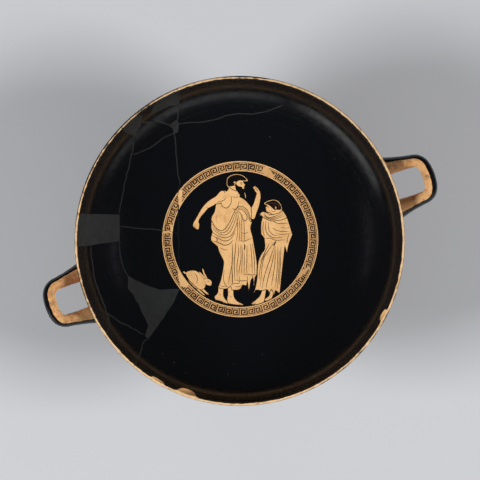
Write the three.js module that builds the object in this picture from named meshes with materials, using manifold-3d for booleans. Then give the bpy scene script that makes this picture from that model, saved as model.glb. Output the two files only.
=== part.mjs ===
// A two-handled drinking cup (kylix) of fired clay: a wide, shallow bowl on a short stem and a
// round foot, with a loop handle on either side that reaches out past the lip and sweeps up.
// The bowl, stem, foot and handles are joined before firing, so the cup is one solid.
// Millimetres, +Z up. The origin is on the table under the middle of the foot, and the
// handles lie along X.

import * as THREE from "three";
import { mergeVertices } from "three/addons/utils/BufferGeometryUtils.js";
import Module from "manifold-3d";

// Bowl
const RIM_DIAMETER = 240;
const BOWL_DEPTH = 44; // from the top of the lip down to the middle of the floor
const LIP_THICKNESS = 3;
const FLOOR_THICKNESS = 5.5;
const BOWL_ROUNDNESS = 2.1; // exponent of the bowl's curve, where 2 is an ellipse

// Stem and foot
const STEM_HEIGHT = 36; // from the top of the foot's edge to the underside of the bowl
const NECK_DIAMETER = 23;
const NECK_DROP = 14.5; // the narrowest place, below the underside of the bowl
const STEM_SPREAD_RADIUS = 33; // where the stem has run out into the bowl
const STEM_FLARE = 11; // how far the stem stays upright on either side of the neck
const FOOT_DIAMETER = 92;
const FOOT_EDGE_HEIGHT = 8.5;
const FOOT_EDGE_BULGE = 3.6;
const FOOT_TOP_RISE = 2.5; // of the foot's upper face, on its way in to the stem
const FOOT_TOP_REACH = 22;

// Hollow under the foot, which runs up into the stem
const REST_RING_WIDTH = 6;
const HOLLOW_CEILING = 10; // clay between the hollow's top and the underside of the bowl
const HOLLOW_MOUTH_DIAMETER = 27;
const HOLLOW_MOUTH_HEIGHT = 8;
const HOLLOW_TOP_DIAMETER = 10;

// Handles
const HANDLE_WIDTH = 9; // seen from above
const HANDLE_HEIGHT = 8.2;
const HANDLE_OVERHANG = 30; // past the lip
const HANDLE_ROOT_SPAN = 35.6; // between the arms' middles, where they leave the wall
const HANDLE_END_SPAN = 26.6; // between the arms' middles at the corners, before those are rounded
const HANDLE_CORNER = 6; // length of an arm that its corner rounds off
const HANDLE_CORNER_ON_END = 7.5; // length of the end that a corner rounds off
const HANDLE_END_BOW = 1.5; // of the end's middle, past the line between its corners
const HANDLE_ROOT_INSET = 11; // of the roots, inside the lip
const HANDLE_ROOT_DROP = 0.5; // of the arms' middles, below the wall's outer face there
const HANDLE_TOP_BELOW_LIP = 1;
const HANDLE_SWEEP = 1.6; // 1 is a straight rise, more is a curve that steepens outwards
const HANDLE_FLARE = 3.8; // added all round where the clay is worked into the wall
const HANDLE_FLARE_LENGTH = 11.5;
const HANDLE_SUNK_LENGTH = 6; // of each arm, inside the wall before the bowl is hollowed
const HANDLE_SUNK_SLOPE = 0.4; // at which that length rises inwards

// Old chips in the lip, flaked off its inner face: angle from +X in degrees, length along the
// lip, bite into the wall, and drop down the inner face from the top of the lip
const CHIPS = [
  { angle: 231.7, length: 18.6, bite: 2.7, drop: 10 },
  { angle: 220.5, length: 10.7, bite: 1.3, drop: 4.6 },
  { angle: 313.8, length: 10.3, bite: 1.8, drop: 7.1 },
];

// Fineness of the facets
const SEGMENTS = 60; // round the cup, a multiple of 4
const BOWL_STEPS = 14;
const LIP_STEPS = 3;
const STEM_STEPS = 6;
const EDGE_STEPS = 6;
const HOLLOW_STEPS = 4;
const HOLLOW_TOP_STEPS = 2;
const HANDLE_STEPS = 36;
const HANDLE_SIDES = 10;
const CHIP_DETAIL = 1; // how often the faces of an icosahedron are halved

// Places that follow from the sizes
const rimRadius = RIM_DIAMETER / 2;
const lipRound = LIP_THICKNESS / 2;
const undersideZ = FOOT_EDGE_HEIGHT + STEM_HEIGHT;
const cupHeight = undersideZ + FLOOR_THICKNESS + BOWL_DEPTH;
const curveTopZ = cupHeight - lipRound; // where both faces of the wall stand upright
const inside = { radius: rimRadius - LIP_THICKNESS, depth: BOWL_DEPTH - lipRound };
const outside = { radius: rimRadius, depth: inside.depth + FLOOR_THICKNESS };
const neckZ = undersideZ - NECK_DROP;

const wasm = await Module();
wasm.setup();

// A closed three.js geometry as a solid that can be joined and cut.
function solid(geometry) {
  const bare = new THREE.BufferGeometry();
  bare.setAttribute("position", geometry.getAttribute("position"));
  bare.setIndex(geometry.getIndex());
  const merged = mergeVertices(bare, 1e-4);
  const corners = merged.index.array;
  const kept = [];
  for (let i = 0; i < corners.length; i += 3) {
    const [a, b, c] = corners.slice(i, i + 3);
    if (a !== b && b !== c && c !== a) kept.push(a, b, c);
  }
  const vertProperties = new Float32Array(merged.attributes.position.array);
  const triVerts = new Uint32Array(kept);
  return new wasm.Manifold(new wasm.Mesh({ numProp: 3, vertProperties, triVerts }));
}

// A profile of (radius, height) points, which runs up the outside from axis to axis, turned
// about Z.
function turned(profile) {
  return solid(new THREE.LatheGeometry(profile, SEGMENTS).rotateX(Math.PI / 2));
}

// Height of a face of the wall at a radius: a superellipse that hangs from curveTopZ.
function wallZ(face, radius) {
  const across = Math.pow(radius / face.radius, BOWL_ROUNDNESS);
  return curveTopZ - face.depth * Math.pow(1 - across, 1 / BOWL_ROUNDNESS);
}

// Radius of a face of the wall at a height, the other way round.
function wallRadius(face, height) {
  const down = THREE.MathUtils.clamp((curveTopZ - height) / face.depth, 0, 1);
  return face.radius * Math.pow(1 - Math.pow(down, BOWL_ROUNDNESS), 1 / BOWL_ROUNDNESS);
}

// Points of that superellipse, from one radius out to the upright edge, even in angle.
function wallCurve(face, fromRadius) {
  const power = 2 / BOWL_ROUNDNESS;
  const start = Math.asin(Math.pow(fromRadius / face.radius, 1 / power));
  return Array.from({ length: BOWL_STEPS + 1 }, (_, i) => {
    const angle = THREE.MathUtils.lerp(start, Math.PI / 2, i / BOWL_STEPS);
    const down = face.depth * Math.pow(Math.max(Math.cos(angle), 0), power);
    return new THREE.Vector2(face.radius * Math.pow(Math.sin(angle), power), curveTopZ - down);
  });
}

function point(radius, height) {
  return new THREE.Vector2(radius, height);
}

// Points along an arc of an ellipse, from one angle to another, in degrees.
function arc(centre, wide, high, fromDeg, toDeg, steps) {
  return Array.from({ length: steps + 1 }, (_, i) => {
    const angle = THREE.MathUtils.degToRad(THREE.MathUtils.lerp(fromDeg, toDeg, i / steps));
    return point(centre.x + wide * Math.cos(angle), centre.y + high * Math.sin(angle));
  });
}

// The hollow's profile, from the resting ring's inner edge up to its top on the axis.
function hollowProfile() {
  const ringInner = FOOT_DIAMETER / 2 - FOOT_EDGE_BULGE - REST_RING_WIDTH;
  const mouth = point(HOLLOW_MOUTH_DIAMETER / 2, HOLLOW_MOUTH_HEIGHT);
  const top = undersideZ - HOLLOW_CEILING;
  const topRadius = HOLLOW_TOP_DIAMETER / 2;
  const underFoot = new THREE.CubicBezierCurve(
    point(ringInner, 0),
    point(ringInner - HOLLOW_MOUTH_HEIGHT / 3, HOLLOW_MOUTH_HEIGHT / 2),
    point((ringInner + mouth.x) / 2, HOLLOW_MOUTH_HEIGHT / 2),
    mouth,
  );
  const upStem = new THREE.CubicBezierCurve(
    mouth,
    point(topRadius, HOLLOW_MOUTH_HEIGHT * 2),
    point(topRadius, (mouth.y + top) / 2),
    point(topRadius, top - topRadius),
  );
  return [
    ...underFoot.getPoints(HOLLOW_STEPS),
    ...upStem.getPoints(HOLLOW_STEPS).slice(1),
    ...arc(point(0, top - topRadius), topRadius, topRadius, 0, 90, HOLLOW_TOP_STEPS).slice(1),
  ];
}

// The cup's outside, from the foot's hollow round the edge and up to the lip, as one solid
// body with the bowl not yet hollowed.
function outerBody() {
  const edgeCentre = point(FOOT_DIAMETER / 2 - FOOT_EDGE_BULGE, FOOT_EDGE_HEIGHT / 2);
  const edge = arc(edgeCentre, FOOT_EDGE_BULGE, FOOT_EDGE_HEIGHT / 2, -90, 90, EDGE_STEPS);
  const neck = point(NECK_DIAMETER / 2, neckZ);
  const spread = point(STEM_SPREAD_RADIUS, wallZ(outside, STEM_SPREAD_RADIUS));
  const nearSpread = wallZ(outside, STEM_SPREAD_RADIUS - 1);
  const slope = spread.y - nearSpread;
  const footToNeck = new THREE.CubicBezierCurve(
    point(edgeCentre.x, FOOT_EDGE_HEIGHT),
    point(edgeCentre.x - FOOT_TOP_REACH, FOOT_EDGE_HEIGHT + FOOT_TOP_RISE),
    point(neck.x, neckZ - STEM_FLARE),
    neck,
  );
  const neckToBowl = new THREE.CubicBezierCurve(
    neck,
    point(neck.x, neckZ + STEM_FLARE),
    point(spread.x - STEM_FLARE, spread.y - slope * STEM_FLARE),
    spread,
  );
  const lip = arc(point(rimRadius - lipRound, curveTopZ), lipRound, lipRound, 0, 90, LIP_STEPS);
  return turned([
    ...hollowProfile().reverse(),
    ...edge,
    ...footToNeck.getPoints(STEM_STEPS).slice(1),
    ...neckToBowl.getPoints(STEM_STEPS).slice(1),
    ...wallCurve(outside, STEM_SPREAD_RADIUS).slice(1),
    ...lip.slice(1),
    point(0, cupHeight),
  ]);
}

// What is scooped out of the bowl, open above the lip, with the lip's inner rounding.
function bowlSpace() {
  const centre = point(inside.radius + lipRound, curveTopZ);
  const rounding = arc(centre, lipRound, lipRound, 180, 90, LIP_STEPS);
  const above = cupHeight + BOWL_DEPTH;
  return turned([
    ...wallCurve(inside, 0),
    ...rounding.slice(1),
    point(centre.x, above),
    point(0, above),
  ]);
}

// The middle line of a handle on the +X side: straight arms, rounded corners and a slightly
// bowed end seen from above, rising from the wall to just under the lip's height.
function handleLine() {
  const endX = rimRadius + HANDLE_OVERHANG - HANDLE_WIDTH / 2;
  const rootX = rimRadius - HANDLE_ROOT_INSET;
  const rootHalf = HANDLE_ROOT_SPAN / 2;
  const endHalf = HANDLE_END_SPAN / 2;
  const corner = point(endX - HANDLE_END_BOW, endHalf);
  const root = point(rootX, rootHalf);
  const alongArm = root.clone().sub(corner).normalize();
  const armEnd = corner.clone().addScaledVector(alongArm, HANDLE_CORNER);
  const start = root.clone().addScaledVector(alongArm, HANDLE_SUNK_LENGTH);
  const bowSlope = (2 * HANDLE_END_BOW) / (HANDLE_CORNER_ON_END + endHalf);
  const endStart = point(corner.x + bowSlope * HANDLE_CORNER_ON_END, endHalf - HANDLE_CORNER_ON_END);
  const bowTip = point(corner.x + bowSlope * endHalf, 0);
  const plan = new THREE.Path()
    .moveTo(start.x, start.y)
    .lineTo(armEnd.x, armEnd.y)
    .quadraticCurveTo(corner.x, corner.y, endStart.x, endStart.y)
    .quadraticCurveTo(bowTip.x, bowTip.y, endStart.x, -endStart.y)
    .quadraticCurveTo(corner.x, -corner.y, armEnd.x, -armEnd.y)
    .lineTo(start.x, -start.y);
  const rootZ = wallZ(outside, Math.hypot(rootX, rootHalf)) - HANDLE_ROOT_DROP;
  const endZ = cupHeight - HANDLE_TOP_BELOW_LIP - HANDLE_HEIGHT / 2;
  return plan.getSpacedPoints(HANDLE_STEPS).map(({ x, y }) => {
    const out = Math.max(x - rootX, 0) / (endX - rootX);
    const sunk = Math.max(rootX - x, 0) * HANDLE_SUNK_SLOPE;
    const z = rootZ + sunk + (endZ - rootZ) * Math.pow(out, HANDLE_SWEEP);
    return new THREE.Vector3(x, y, z);
  });
}

// A handle as a closed tube: an oval section carried along the middle line, kept level
// across. Each point is moved outwards by a flare that dies away with its distance from
// the wall's outer face, so that the roots run into the wall all round.
function handle() {
  const line = handleLine();
  const positions = [];
  line.forEach((middle, i) => {
    const before = line[Math.max(i - 1, 0)];
    const after = line[Math.min(i + 1, line.length - 1)];
    const along = after.clone().sub(before).normalize();
    const across = new THREE.Vector3(0, 0, 1).cross(along).normalize();
    const upright = along.clone().cross(across);
    for (let side = 0; side < HANDLE_SIDES; side++) {
      const angle = (2 * Math.PI * side) / HANDLE_SIDES;
      const offset = across
        .clone()
        .multiplyScalar((Math.cos(angle) * HANDLE_WIDTH) / 2)
        .addScaledVector(upright, (Math.sin(angle) * HANDLE_HEIGHT) / 2);
      const place = middle.clone().add(offset);
      const gap = Math.hypot(place.x, place.y) - wallRadius(outside, place.z);
      const nearness = Math.exp(-Math.pow(gap / HANDLE_FLARE_LENGTH, 2));
      place.addScaledVector(offset.normalize(), HANDLE_FLARE * nearness);
      positions.push(place.x, place.y, place.z);
    }
  });
  const faces = [];
  for (let i = 0; i + 1 < line.length; i++) {
    for (let side = 0; side < HANDLE_SIDES; side++) {
      const next = (side + 1) % HANDLE_SIDES;
      const [a, b] = [i * HANDLE_SIDES + side, i * HANDLE_SIDES + next];
      const [c, d] = [a + HANDLE_SIDES, b + HANDLE_SIDES];
      faces.push(a, b, d, a, d, c);
    }
  }
  const last = (line.length - 1) * HANDLE_SIDES;
  for (let side = 1; side + 1 < HANDLE_SIDES; side++) {
    faces.push(0, side + 1, side, last, last + side, last + side + 1);
  }
  const tube = new THREE.BufferGeometry();
  tube.setAttribute("position", new THREE.Float32BufferAttribute(positions, 3));
  tube.setIndex(faces);
  return solid(tube);
}

// One chip: a rough shallow scoop level with the lip's top, which ends on the inner face at the
// bottom of its drop.
function chip({ angle, length, bite, drop }) {
  const scoop = new THREE.IcosahedronGeometry(1, CHIP_DETAIL).scale(bite, length / 2, drop);
  scoop.translate(wallRadius(inside, cupHeight - drop), 0, cupHeight);
  return solid(scoop.rotateZ(THREE.MathUtils.degToRad(angle)));
}

function cupSolid() {
  const right = handle();
  const left = right.rotate([0, 0, 180]);
  const whole = outerBody().add(right).add(left).subtract(bowlSpace());
  return CHIPS.reduce((cup, place) => cup.subtract(chip(place)), whole);
}

function geometryOf(shape) {
  const mesh = shape.getMesh();
  const geometry = new THREE.BufferGeometry();
  geometry.setAttribute("position", new THREE.BufferAttribute(mesh.vertProperties, 3));
  geometry.setIndex(new THREE.BufferAttribute(mesh.triVerts, 1));
  geometry.computeVertexNormals();
  return geometry;
}

const blackGloss = new THREE.MeshStandardMaterial({
  name: "black_gloss",
  color: 0x17181a,
  roughness: 0.22,
  metalness: 0,
});

const kylix = new THREE.Mesh(geometryOf(cupSolid()), blackGloss);
kylix.name = "kylix";

const cup = new THREE.Group();
cup.add(kylix);

export default cup;
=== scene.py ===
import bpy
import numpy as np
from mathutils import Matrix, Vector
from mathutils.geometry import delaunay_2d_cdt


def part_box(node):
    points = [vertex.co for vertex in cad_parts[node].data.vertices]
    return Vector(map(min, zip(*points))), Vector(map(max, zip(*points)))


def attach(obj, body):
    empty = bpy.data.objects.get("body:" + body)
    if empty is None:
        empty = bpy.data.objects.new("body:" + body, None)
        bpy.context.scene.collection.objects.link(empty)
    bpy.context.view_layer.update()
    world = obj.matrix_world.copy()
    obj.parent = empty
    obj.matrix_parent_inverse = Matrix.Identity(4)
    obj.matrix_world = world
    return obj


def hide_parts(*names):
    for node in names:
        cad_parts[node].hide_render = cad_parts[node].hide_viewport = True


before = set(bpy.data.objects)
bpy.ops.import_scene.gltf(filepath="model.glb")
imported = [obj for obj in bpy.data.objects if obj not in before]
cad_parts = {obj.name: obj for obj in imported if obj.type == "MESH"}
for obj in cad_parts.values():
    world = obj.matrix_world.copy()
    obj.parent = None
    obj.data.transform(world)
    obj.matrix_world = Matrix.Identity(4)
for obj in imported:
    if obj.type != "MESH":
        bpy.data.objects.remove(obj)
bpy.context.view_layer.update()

# %% [markdown]
# A kylix is a wide, shallow drinking cup of fired clay on a stem, with two loop handles.
# This lesson gives its plain solid the finish of the real one: the painted round in the
# bowl, the black gloss, the bare clay of lip, handles and foot, and the old joints.
# The whole cup is worked out again as one fine mesh. Another way would be to keep the
# solid's facets and paint only with nodes, but thin painted lines and the cracks have
# crisp edges only where the mesh itself has an edge.

MM = 0.001
low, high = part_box("kylix")
rim_radius = (high[1] - low[1]) / 2 / MM
cup_height = high[2] / MM
handle_reach = high[0] / MM
print(f"lip {2 * rim_radius:.1f} mm across, {cup_height:.1f} mm high, handles to {handle_reach:.1f} mm")

# %% [markdown]
# The potter turns bowl, stem and foot on the wheel, so their surface is one profile carried
# round the axis. The profile starts in the middle of the bowl, runs over the lip, down the
# outside, along the stem and round the foot, and ends in the hollow under it. It could be
# a curve object with a Screw modifier. Here it is an array, because the length walked along
# it is needed again: every pattern is laid out with it.

# %% Sizes of the profile, in millimetres
LIP_THICKNESS = 3
FLOOR_THICKNESS = 5.5
BOWL_DEPTH = 44
BOWL_ROUNDNESS = 2.1
STEM_HEIGHT_TO_NECK = 14.5
NECK_RADIUS = 11.5
SPREAD_RADIUS = 33
STEM_FLARE = 11
FOOT_RADIUS = 46
FOOT_EDGE_HEIGHT = 8.5
FOOT_EDGE_BULGE = 3.6
FOOT_TOP_RISE = 2.5
FOOT_TOP_REACH = 22
REST_RING_WIDTH = 6
HOLLOW_CEILING = 10
HOLLOW_MOUTH_RADIUS = 13.5
HOLLOW_MOUTH_HEIGHT = 8
HOLLOW_TOP_RADIUS = 5
EDGE_SOFTNESS = 0.8  # over which the corners of the foot are rounded

lip_round = LIP_THICKNESS / 2
underside_z = cup_height - BOWL_DEPTH - FLOOR_THICKNESS
curve_top = cup_height - lip_round
inner_radius, inner_depth = rim_radius - LIP_THICKNESS, BOWL_DEPTH - lip_round
outer_radius, outer_depth = rim_radius, BOWL_DEPTH - lip_round + FLOOR_THICKNESS
print(f"wall {LIP_THICKNESS} to {FLOOR_THICKNESS} mm thick, bowl {BOWL_DEPTH} mm deep")

# %% Formulas of the wall, and curves for the rest
def wall(angle, radius, depth):
    """A face of the bowl's wall, a superellipse: radius times the sine and depth times the
    cosine of the angle, both to the power 2 / roundness."""
    power = 2 / BOWL_ROUNDNESS
    across = radius * np.sin(angle) ** power
    return np.stack([across, curve_top - depth * np.cos(angle) ** power], 1)


def wall_z(across, radius, depth):
    """Height of a face of the wall at a distance from the axis."""
    share = (1 - (np.asarray(across) / radius) ** BOWL_ROUNDNESS) ** (1 / BOWL_ROUNDNESS)
    return curve_top - depth * share


def wall_radius(height, radius, depth):
    """Distance of a face of the wall from the axis at a height."""
    down = np.clip((curve_top - height) / depth, 0, 1)
    return radius * (1 - down**BOWL_ROUNDNESS) ** (1 / BOWL_ROUNDNESS)


def bend(a, b, c, d, steps=160):
    """A cubic curve from a to d that leaves towards b and arrives from c (Bezier's rule)."""
    t = np.linspace(0, 1, steps)[:, None]
    a, b, c, d = (np.asarray(p, float) for p in (a, b, c, d))
    return a * (1 - t) ** 3 + 3 * b * t * (1 - t) ** 2 + 3 * c * t**2 * (1 - t) + d * t**3


def arc(centre, wide, high, start, end, steps=80):
    """Part of an ellipse, between two angles in degrees."""
    angle = np.radians(np.linspace(start, end, steps))[:, None]
    return np.asarray(centre) + np.hstack([wide * np.cos(angle), high * np.sin(angle)])

# %% Walk along the profile
neck_z = underside_z - STEM_HEIGHT_TO_NECK
spread_z = float(wall_z(SPREAD_RADIUS, outer_radius, outer_depth))
spread_slope = spread_z - float(wall_z(SPREAD_RADIUS - 1, outer_radius, outer_depth))
edge_x = FOOT_RADIUS - FOOT_EDGE_BULGE
ring_inner = edge_x - REST_RING_WIDTH
hollow_top = underside_z - HOLLOW_CEILING
spread_angle = np.arcsin((SPREAD_RADIUS / outer_radius) ** (BOWL_ROUNDNESS / 2))
inside = wall(np.linspace(0, np.pi / 2, 900), inner_radius, inner_depth)
lip = arc((inner_radius + lip_round, curve_top), lip_round, lip_round, 180, 0, 120)
outside = wall(np.linspace(np.pi / 2, spread_angle, 900), outer_radius, outer_depth)
stem = np.vstack([
    bend((SPREAD_RADIUS, spread_z), (SPREAD_RADIUS - STEM_FLARE, spread_z - spread_slope * STEM_FLARE),
         (NECK_RADIUS, neck_z + STEM_FLARE), (NECK_RADIUS, neck_z)),
    bend((NECK_RADIUS, neck_z), (NECK_RADIUS, neck_z - STEM_FLARE),
         (edge_x - FOOT_TOP_REACH, FOOT_EDGE_HEIGHT + FOOT_TOP_RISE), (edge_x, FOOT_EDGE_HEIGHT)),
])
edge = arc((edge_x, FOOT_EDGE_HEIGHT / 2), FOOT_EDGE_BULGE, FOOT_EDGE_HEIGHT / 2, 90, -90)
hollow = np.vstack([
    bend((ring_inner, 0), (ring_inner - HOLLOW_MOUTH_HEIGHT / 3, HOLLOW_MOUTH_HEIGHT / 2),
         ((ring_inner + HOLLOW_MOUTH_RADIUS) / 2, HOLLOW_MOUTH_HEIGHT / 2),
         (HOLLOW_MOUTH_RADIUS, HOLLOW_MOUTH_HEIGHT)),
    bend((HOLLOW_MOUTH_RADIUS, HOLLOW_MOUTH_HEIGHT), (HOLLOW_TOP_RADIUS, HOLLOW_MOUTH_HEIGHT * 2),
         (HOLLOW_TOP_RADIUS, (HOLLOW_MOUTH_HEIGHT + hollow_top) / 2),
         (HOLLOW_TOP_RADIUS, hollow_top - HOLLOW_TOP_RADIUS)),
    arc((0, hollow_top - HOLLOW_TOP_RADIUS), HOLLOW_TOP_RADIUS, HOLLOW_TOP_RADIUS, 0, 90),
])
print(f"stem's neck {neck_z:.1f} mm up, top of the hollow {hollow_top:.1f} mm up")

# %% Put points on it at even steps
def walked(path):
    """The length walked from the start of a path to each of its points."""
    return np.concatenate([[0], np.cumsum(np.linalg.norm(np.diff(path, axis=0), axis=1))])


def evenly(path, step):
    """The same path with points every step."""
    lengths = walked(path)
    at = np.linspace(0, lengths[-1], int(round(lengths[-1] / step)) + 1)
    return np.stack([np.interp(at, lengths, path[:, i]) for i in (0, 1)], 1)


PROFILE_STEP = 0.1
lower = evenly(np.vstack([stem, edge, hollow]), PROFILE_STEP)
reach = int(EDGE_SOFTNESS / PROFILE_STEP / 2)
softened = lower.copy()
window = np.ones(2 * reach + 1) / (2 * reach + 1)
for i in (0, 1):
    softened[reach:-reach, i] = np.convolve(lower[:, i], window, mode="valid")
profile = np.vstack([inside, lip[1:], outside[1:], softened[1:]])
lengths = walked(profile)
lip_in = lengths[len(inside) - 1]
lip_out = lengths[len(inside) + len(lip) - 2]
spread_at = lengths[len(inside) + len(lip) + len(outside) - 3]
profile_end = lengths[-1]
tangent = np.gradient(profile, lengths, axis=0)
tangent /= np.linalg.norm(tangent, axis=1, keepdims=True)
print(f"profile {profile_end:.1f} mm long, lip at {lip_in:.1f} to {lip_out:.1f}, stem from {spread_at:.1f}")


def on_profile(along, turn):
    """Places on the turned surface, at a length along the profile and an angle about the axis."""
    r = np.interp(along, lengths, profile[:, 0])
    z = np.interp(along, lengths, profile[:, 1])
    return np.stack([r * np.cos(turn), r * np.sin(turn), z], -1)


def normal_on_profile(along, turn):
    """Outward normals there: the profile's tangent, turned a quarter."""
    outward = -np.interp(along, lengths, tangent[:, 1])
    upward = np.interp(along, lengths, tangent[:, 0])
    size = np.hypot(outward, upward)
    return np.stack([outward * np.cos(turn), outward * np.sin(turn), upward], -1) / size[..., None]

# %% [markdown]
# A bowl's skin can't be unrolled, but it can be laid flat without tearing if each point
# keeps its angle and its walked distance from the middle. Cracks, fills and the painted
# round are drawn on two such flat sheets: one for the bowl's inside and lip, and one for
# its outside. A Delaunay triangulation then fills each sheet and keeps every drawn line as
# an edge. A fine even grid would need millions of faces for lines this thin.

# %% The two flat sheets
JOIN_BELOW_LIP = 5
join_at = lip_out + JOIN_BELOW_LIP
outside_rise = walked(wall(np.linspace(0, spread_angle, 400), outer_radius, outer_depth))[-1]
outside_base = spread_at + outside_rise  # so that a place on the outer sheet is base minus length
join_radius = outside_base - join_at
first, last = len(inside), len(inside) + len(lip) + len(outside) - 2  # of the profile's points
print(f"inner sheet {join_at:.1f} mm in radius, outer sheet {join_radius:.1f} mm")


def flat_inside(plan):
    """Puts points seen from above on the inner sheet: the distance from the axis becomes the
    length walked from the middle, which past the lip goes on down the outside."""
    plan = np.asarray(plan, float)
    r = np.hypot(plan[:, 0], plan[:, 1])
    along = np.interp(r, profile[:first, 0], lengths[:first])
    over_the_lip = lip_in + (lip_out - lip_in) * (r - inner_radius) / LIP_THICKNESS
    along = np.where(r > inner_radius, over_the_lip, along)
    along = np.where(r > rim_radius, lip_out + r - rim_radius, along)
    return plan * (along / np.maximum(r, 1e-9))[:, None]


def flat_outside(plan):
    """Puts points seen from above on the outer sheet."""
    plan = np.asarray(plan, float)
    r = np.hypot(plan[:, 0], plan[:, 1])
    branch = slice(last, first + len(lip) - 2, -1)
    rise = outside_base - np.interp(r, profile[branch, 0], lengths[branch])
    rise = np.where(r > rim_radius - 0.05, join_radius + 1, rise)
    return plan * (rise / np.maximum(r, 1e-9))[:, None]

# %% Helpers that fill a sheet with triangles
def circle(radius, count, turn=0.0):
    """Points evenly round a circle, the first one turned by a share of a step."""
    angle = 2 * np.pi * (np.arange(count) + turn) / count
    return radius * np.stack([np.cos(angle), np.sin(angle)], 1)


def inside_of(points, shape):
    """Whether points lie in a closed outline: how often it winds round each of them."""
    x, y = points[:, :1], points[:, 1:]
    a, b = shape, np.roll(shape, -1, axis=0)
    side = (b[:, 0] - a[:, 0]) * (y - a[:, 1]) - (x - a[:, 0]) * (b[:, 1] - a[:, 1])
    rising = (a[:, 1] <= y) & (b[:, 1] > y) & (side > 0)
    falling = (a[:, 1] > y) & (b[:, 1] <= y) & (side < 0)
    return rising.sum(1) != falling.sum(1)


SAME_PLACE = 1e-5  # mm, points of a sheet this close become one
SLIVER = 1e-7  # square mm, twice the area of the largest triangle that is left out


def fill_sheet(borders, loose, drawn, allowed):
    """Triangles over a sheet. Borders are closed outlines whose points are found again, loose
    points fill the sheet, and drawn is a list of (points, closed), whose lines become edges
    wherever both their ends are allowed."""
    shapes = [(border, True) for border in borders] + drawn
    points = np.vstack([shape for shape, _ in shapes])
    starts = np.cumsum([0] + [len(shape) for shape, _ in shapes])
    edges = []
    for start, (shape, closed) in zip(starts, shapes):
        at = np.arange(start, start + len(shape))
        edges.append(np.stack([at, np.roll(at, -1)], 1)[: None if closed else -1])
    edges = np.vstack(edges)
    fixed = starts[len(borders)]
    kept = np.concatenate([np.ones(fixed, bool), allowed(points[fixed:])])
    number = np.cumsum(kept) - 1
    edges = number[edges[kept[edges].all(1)]]
    given = np.vstack([points[kept], loose[allowed(loose)]])
    flat = [Vector(place) for place in given.tolist()]
    found, _, faces, source, _, _ = delaunay_2d_cdt(flat, edges.tolist(), [], 0, SAME_PLACE, True)
    where = {old: new for new, every in enumerate(source) for old in every}
    border_at = np.array([where[i] for i in range(fixed)], int)
    found, faces = np.array([p[:] for p in found]), np.array(faces)
    a, b, c = (found[faces[:, i]] for i in range(3))
    turned = (b[:, 0] - a[:, 0]) * (c[:, 1] - a[:, 1]) - (b[:, 1] - a[:, 1]) * (c[:, 0] - a[:, 0])
    faces[turned < 0] = faces[turned < 0][:, ::-1]
    # Each sheet here has two slivers side by side, which leave a pinhole 0.00003 mm long.
    return found, faces[np.abs(turned) > SLIVER], border_at

# %% [markdown]
# The round in the bowl is a red-figure picture: the figures are the bare clay, the ground
# around them is the gloss, and relief lines of the gloss draw the forms. The people here
# are generic ones of this lesson's own. A picture could be an image texture. Here it is a
# painter's list: each form is an outline in millimetres with one paint, and later forms lie
# over earlier ones, so that it stays sharp and can be edited like a drawing.

# %% Curves of the painter's hand
CURVE_STEPS = 5  # pieces between one chosen point and the next


def curve(points, closed=False):
    """A smooth line through chosen points: on each stretch a cubic whose slope at a point is
    half the step from the point before to the point after (Catmull and Rom's rule)."""
    p = np.asarray(points, float)
    if len(p) < 3:
        return np.linspace(p[0], p[-1], CURVE_STEPS + 1)
    if closed:
        p = np.vstack([p[-1], p, p[0], p[1]])
    else:
        p = np.vstack([2 * p[0] - p[1], p, 2 * p[-1] - p[-2]])
    a, b, c, d = (p[i : len(p) - 3 + i, None, :] for i in range(4))
    t = (np.arange(CURVE_STEPS) / CURVE_STEPS)[None, :, None]
    line = b + (c - a) * t / 2 + (2 * a - 5 * b + 4 * c - d) * t**2 / 2
    line = line + (3 * b - a - 3 * c + d) * t**3 / 2
    line = line.reshape(-1, 2)
    return line if closed else np.vstack([line, p[-2]])


def loop(*points):
    """The same line, closed."""
    return curve(points, closed=True)


def outline(*pieces):
    """A closed outline of smooth pieces that meet at corners. Each piece goes on from the last
    point of the one before it, and the last one ends at the first point of all."""
    pieces = [list(piece) for piece in pieces]
    for before, piece in zip(pieces, pieces[1:]):
        piece.insert(0, before[-1])
    pieces[-1].append(pieces[0][0])
    return np.vstack([curve(piece)[:-1] for piece in pieces])

# %% Brush lines and folds
def ribbon(line, width, tip=0.3):
    """A brush line as an area: the line moved half its width to either side, with the width
    falling to a share of itself at both ends, as the root of a sine."""
    line = np.asarray(line, float)
    step = np.gradient(line, axis=0)
    side = np.stack([-step[:, 1], step[:, 0]], 1)
    side /= np.maximum(np.linalg.norm(side, axis=1, keepdims=True), 1e-9)
    along = np.linspace(0, np.pi, len(line))
    half = width / 2 * (tip + (1 - tip) * np.sqrt(np.maximum(np.sin(along), 0)))
    return np.vstack([line + side * half[:, None], (line - side * half[:, None])[::-1]])


def closed_ribbon(line, width):
    """Two closed outlines that a line of even width runs between."""
    step = np.roll(line, -1, 0) - np.roll(line, 1, 0)
    side = np.stack([-step[:, 1], step[:, 0]], 1)
    side /= np.maximum(np.linalg.norm(side, axis=1, keepdims=True), 1e-9)
    return line + side * width / 2, line - side * width / 2


def between(first, last, shares, bend=0.0):
    """Lines that lie between two guide lines, at the given shares of the way, each bowed
    sideways by bend times a half sine."""
    a, b = curve(first), curve(last)
    t = np.linspace(0, 1, 13)
    at = np.linspace(0, 1, len(a))
    a = np.stack([np.interp(t, at, a[:, i]) for i in (0, 1)], 1)
    at = np.linspace(0, 1, len(b))
    b = np.stack([np.interp(t, at, b[:, i]) for i in (0, 1)], 1)
    bow = bend * np.sin(np.pi * t)[:, None] * (b - a)
    return [a + (b - a) * share + bow for share in shares]

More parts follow.
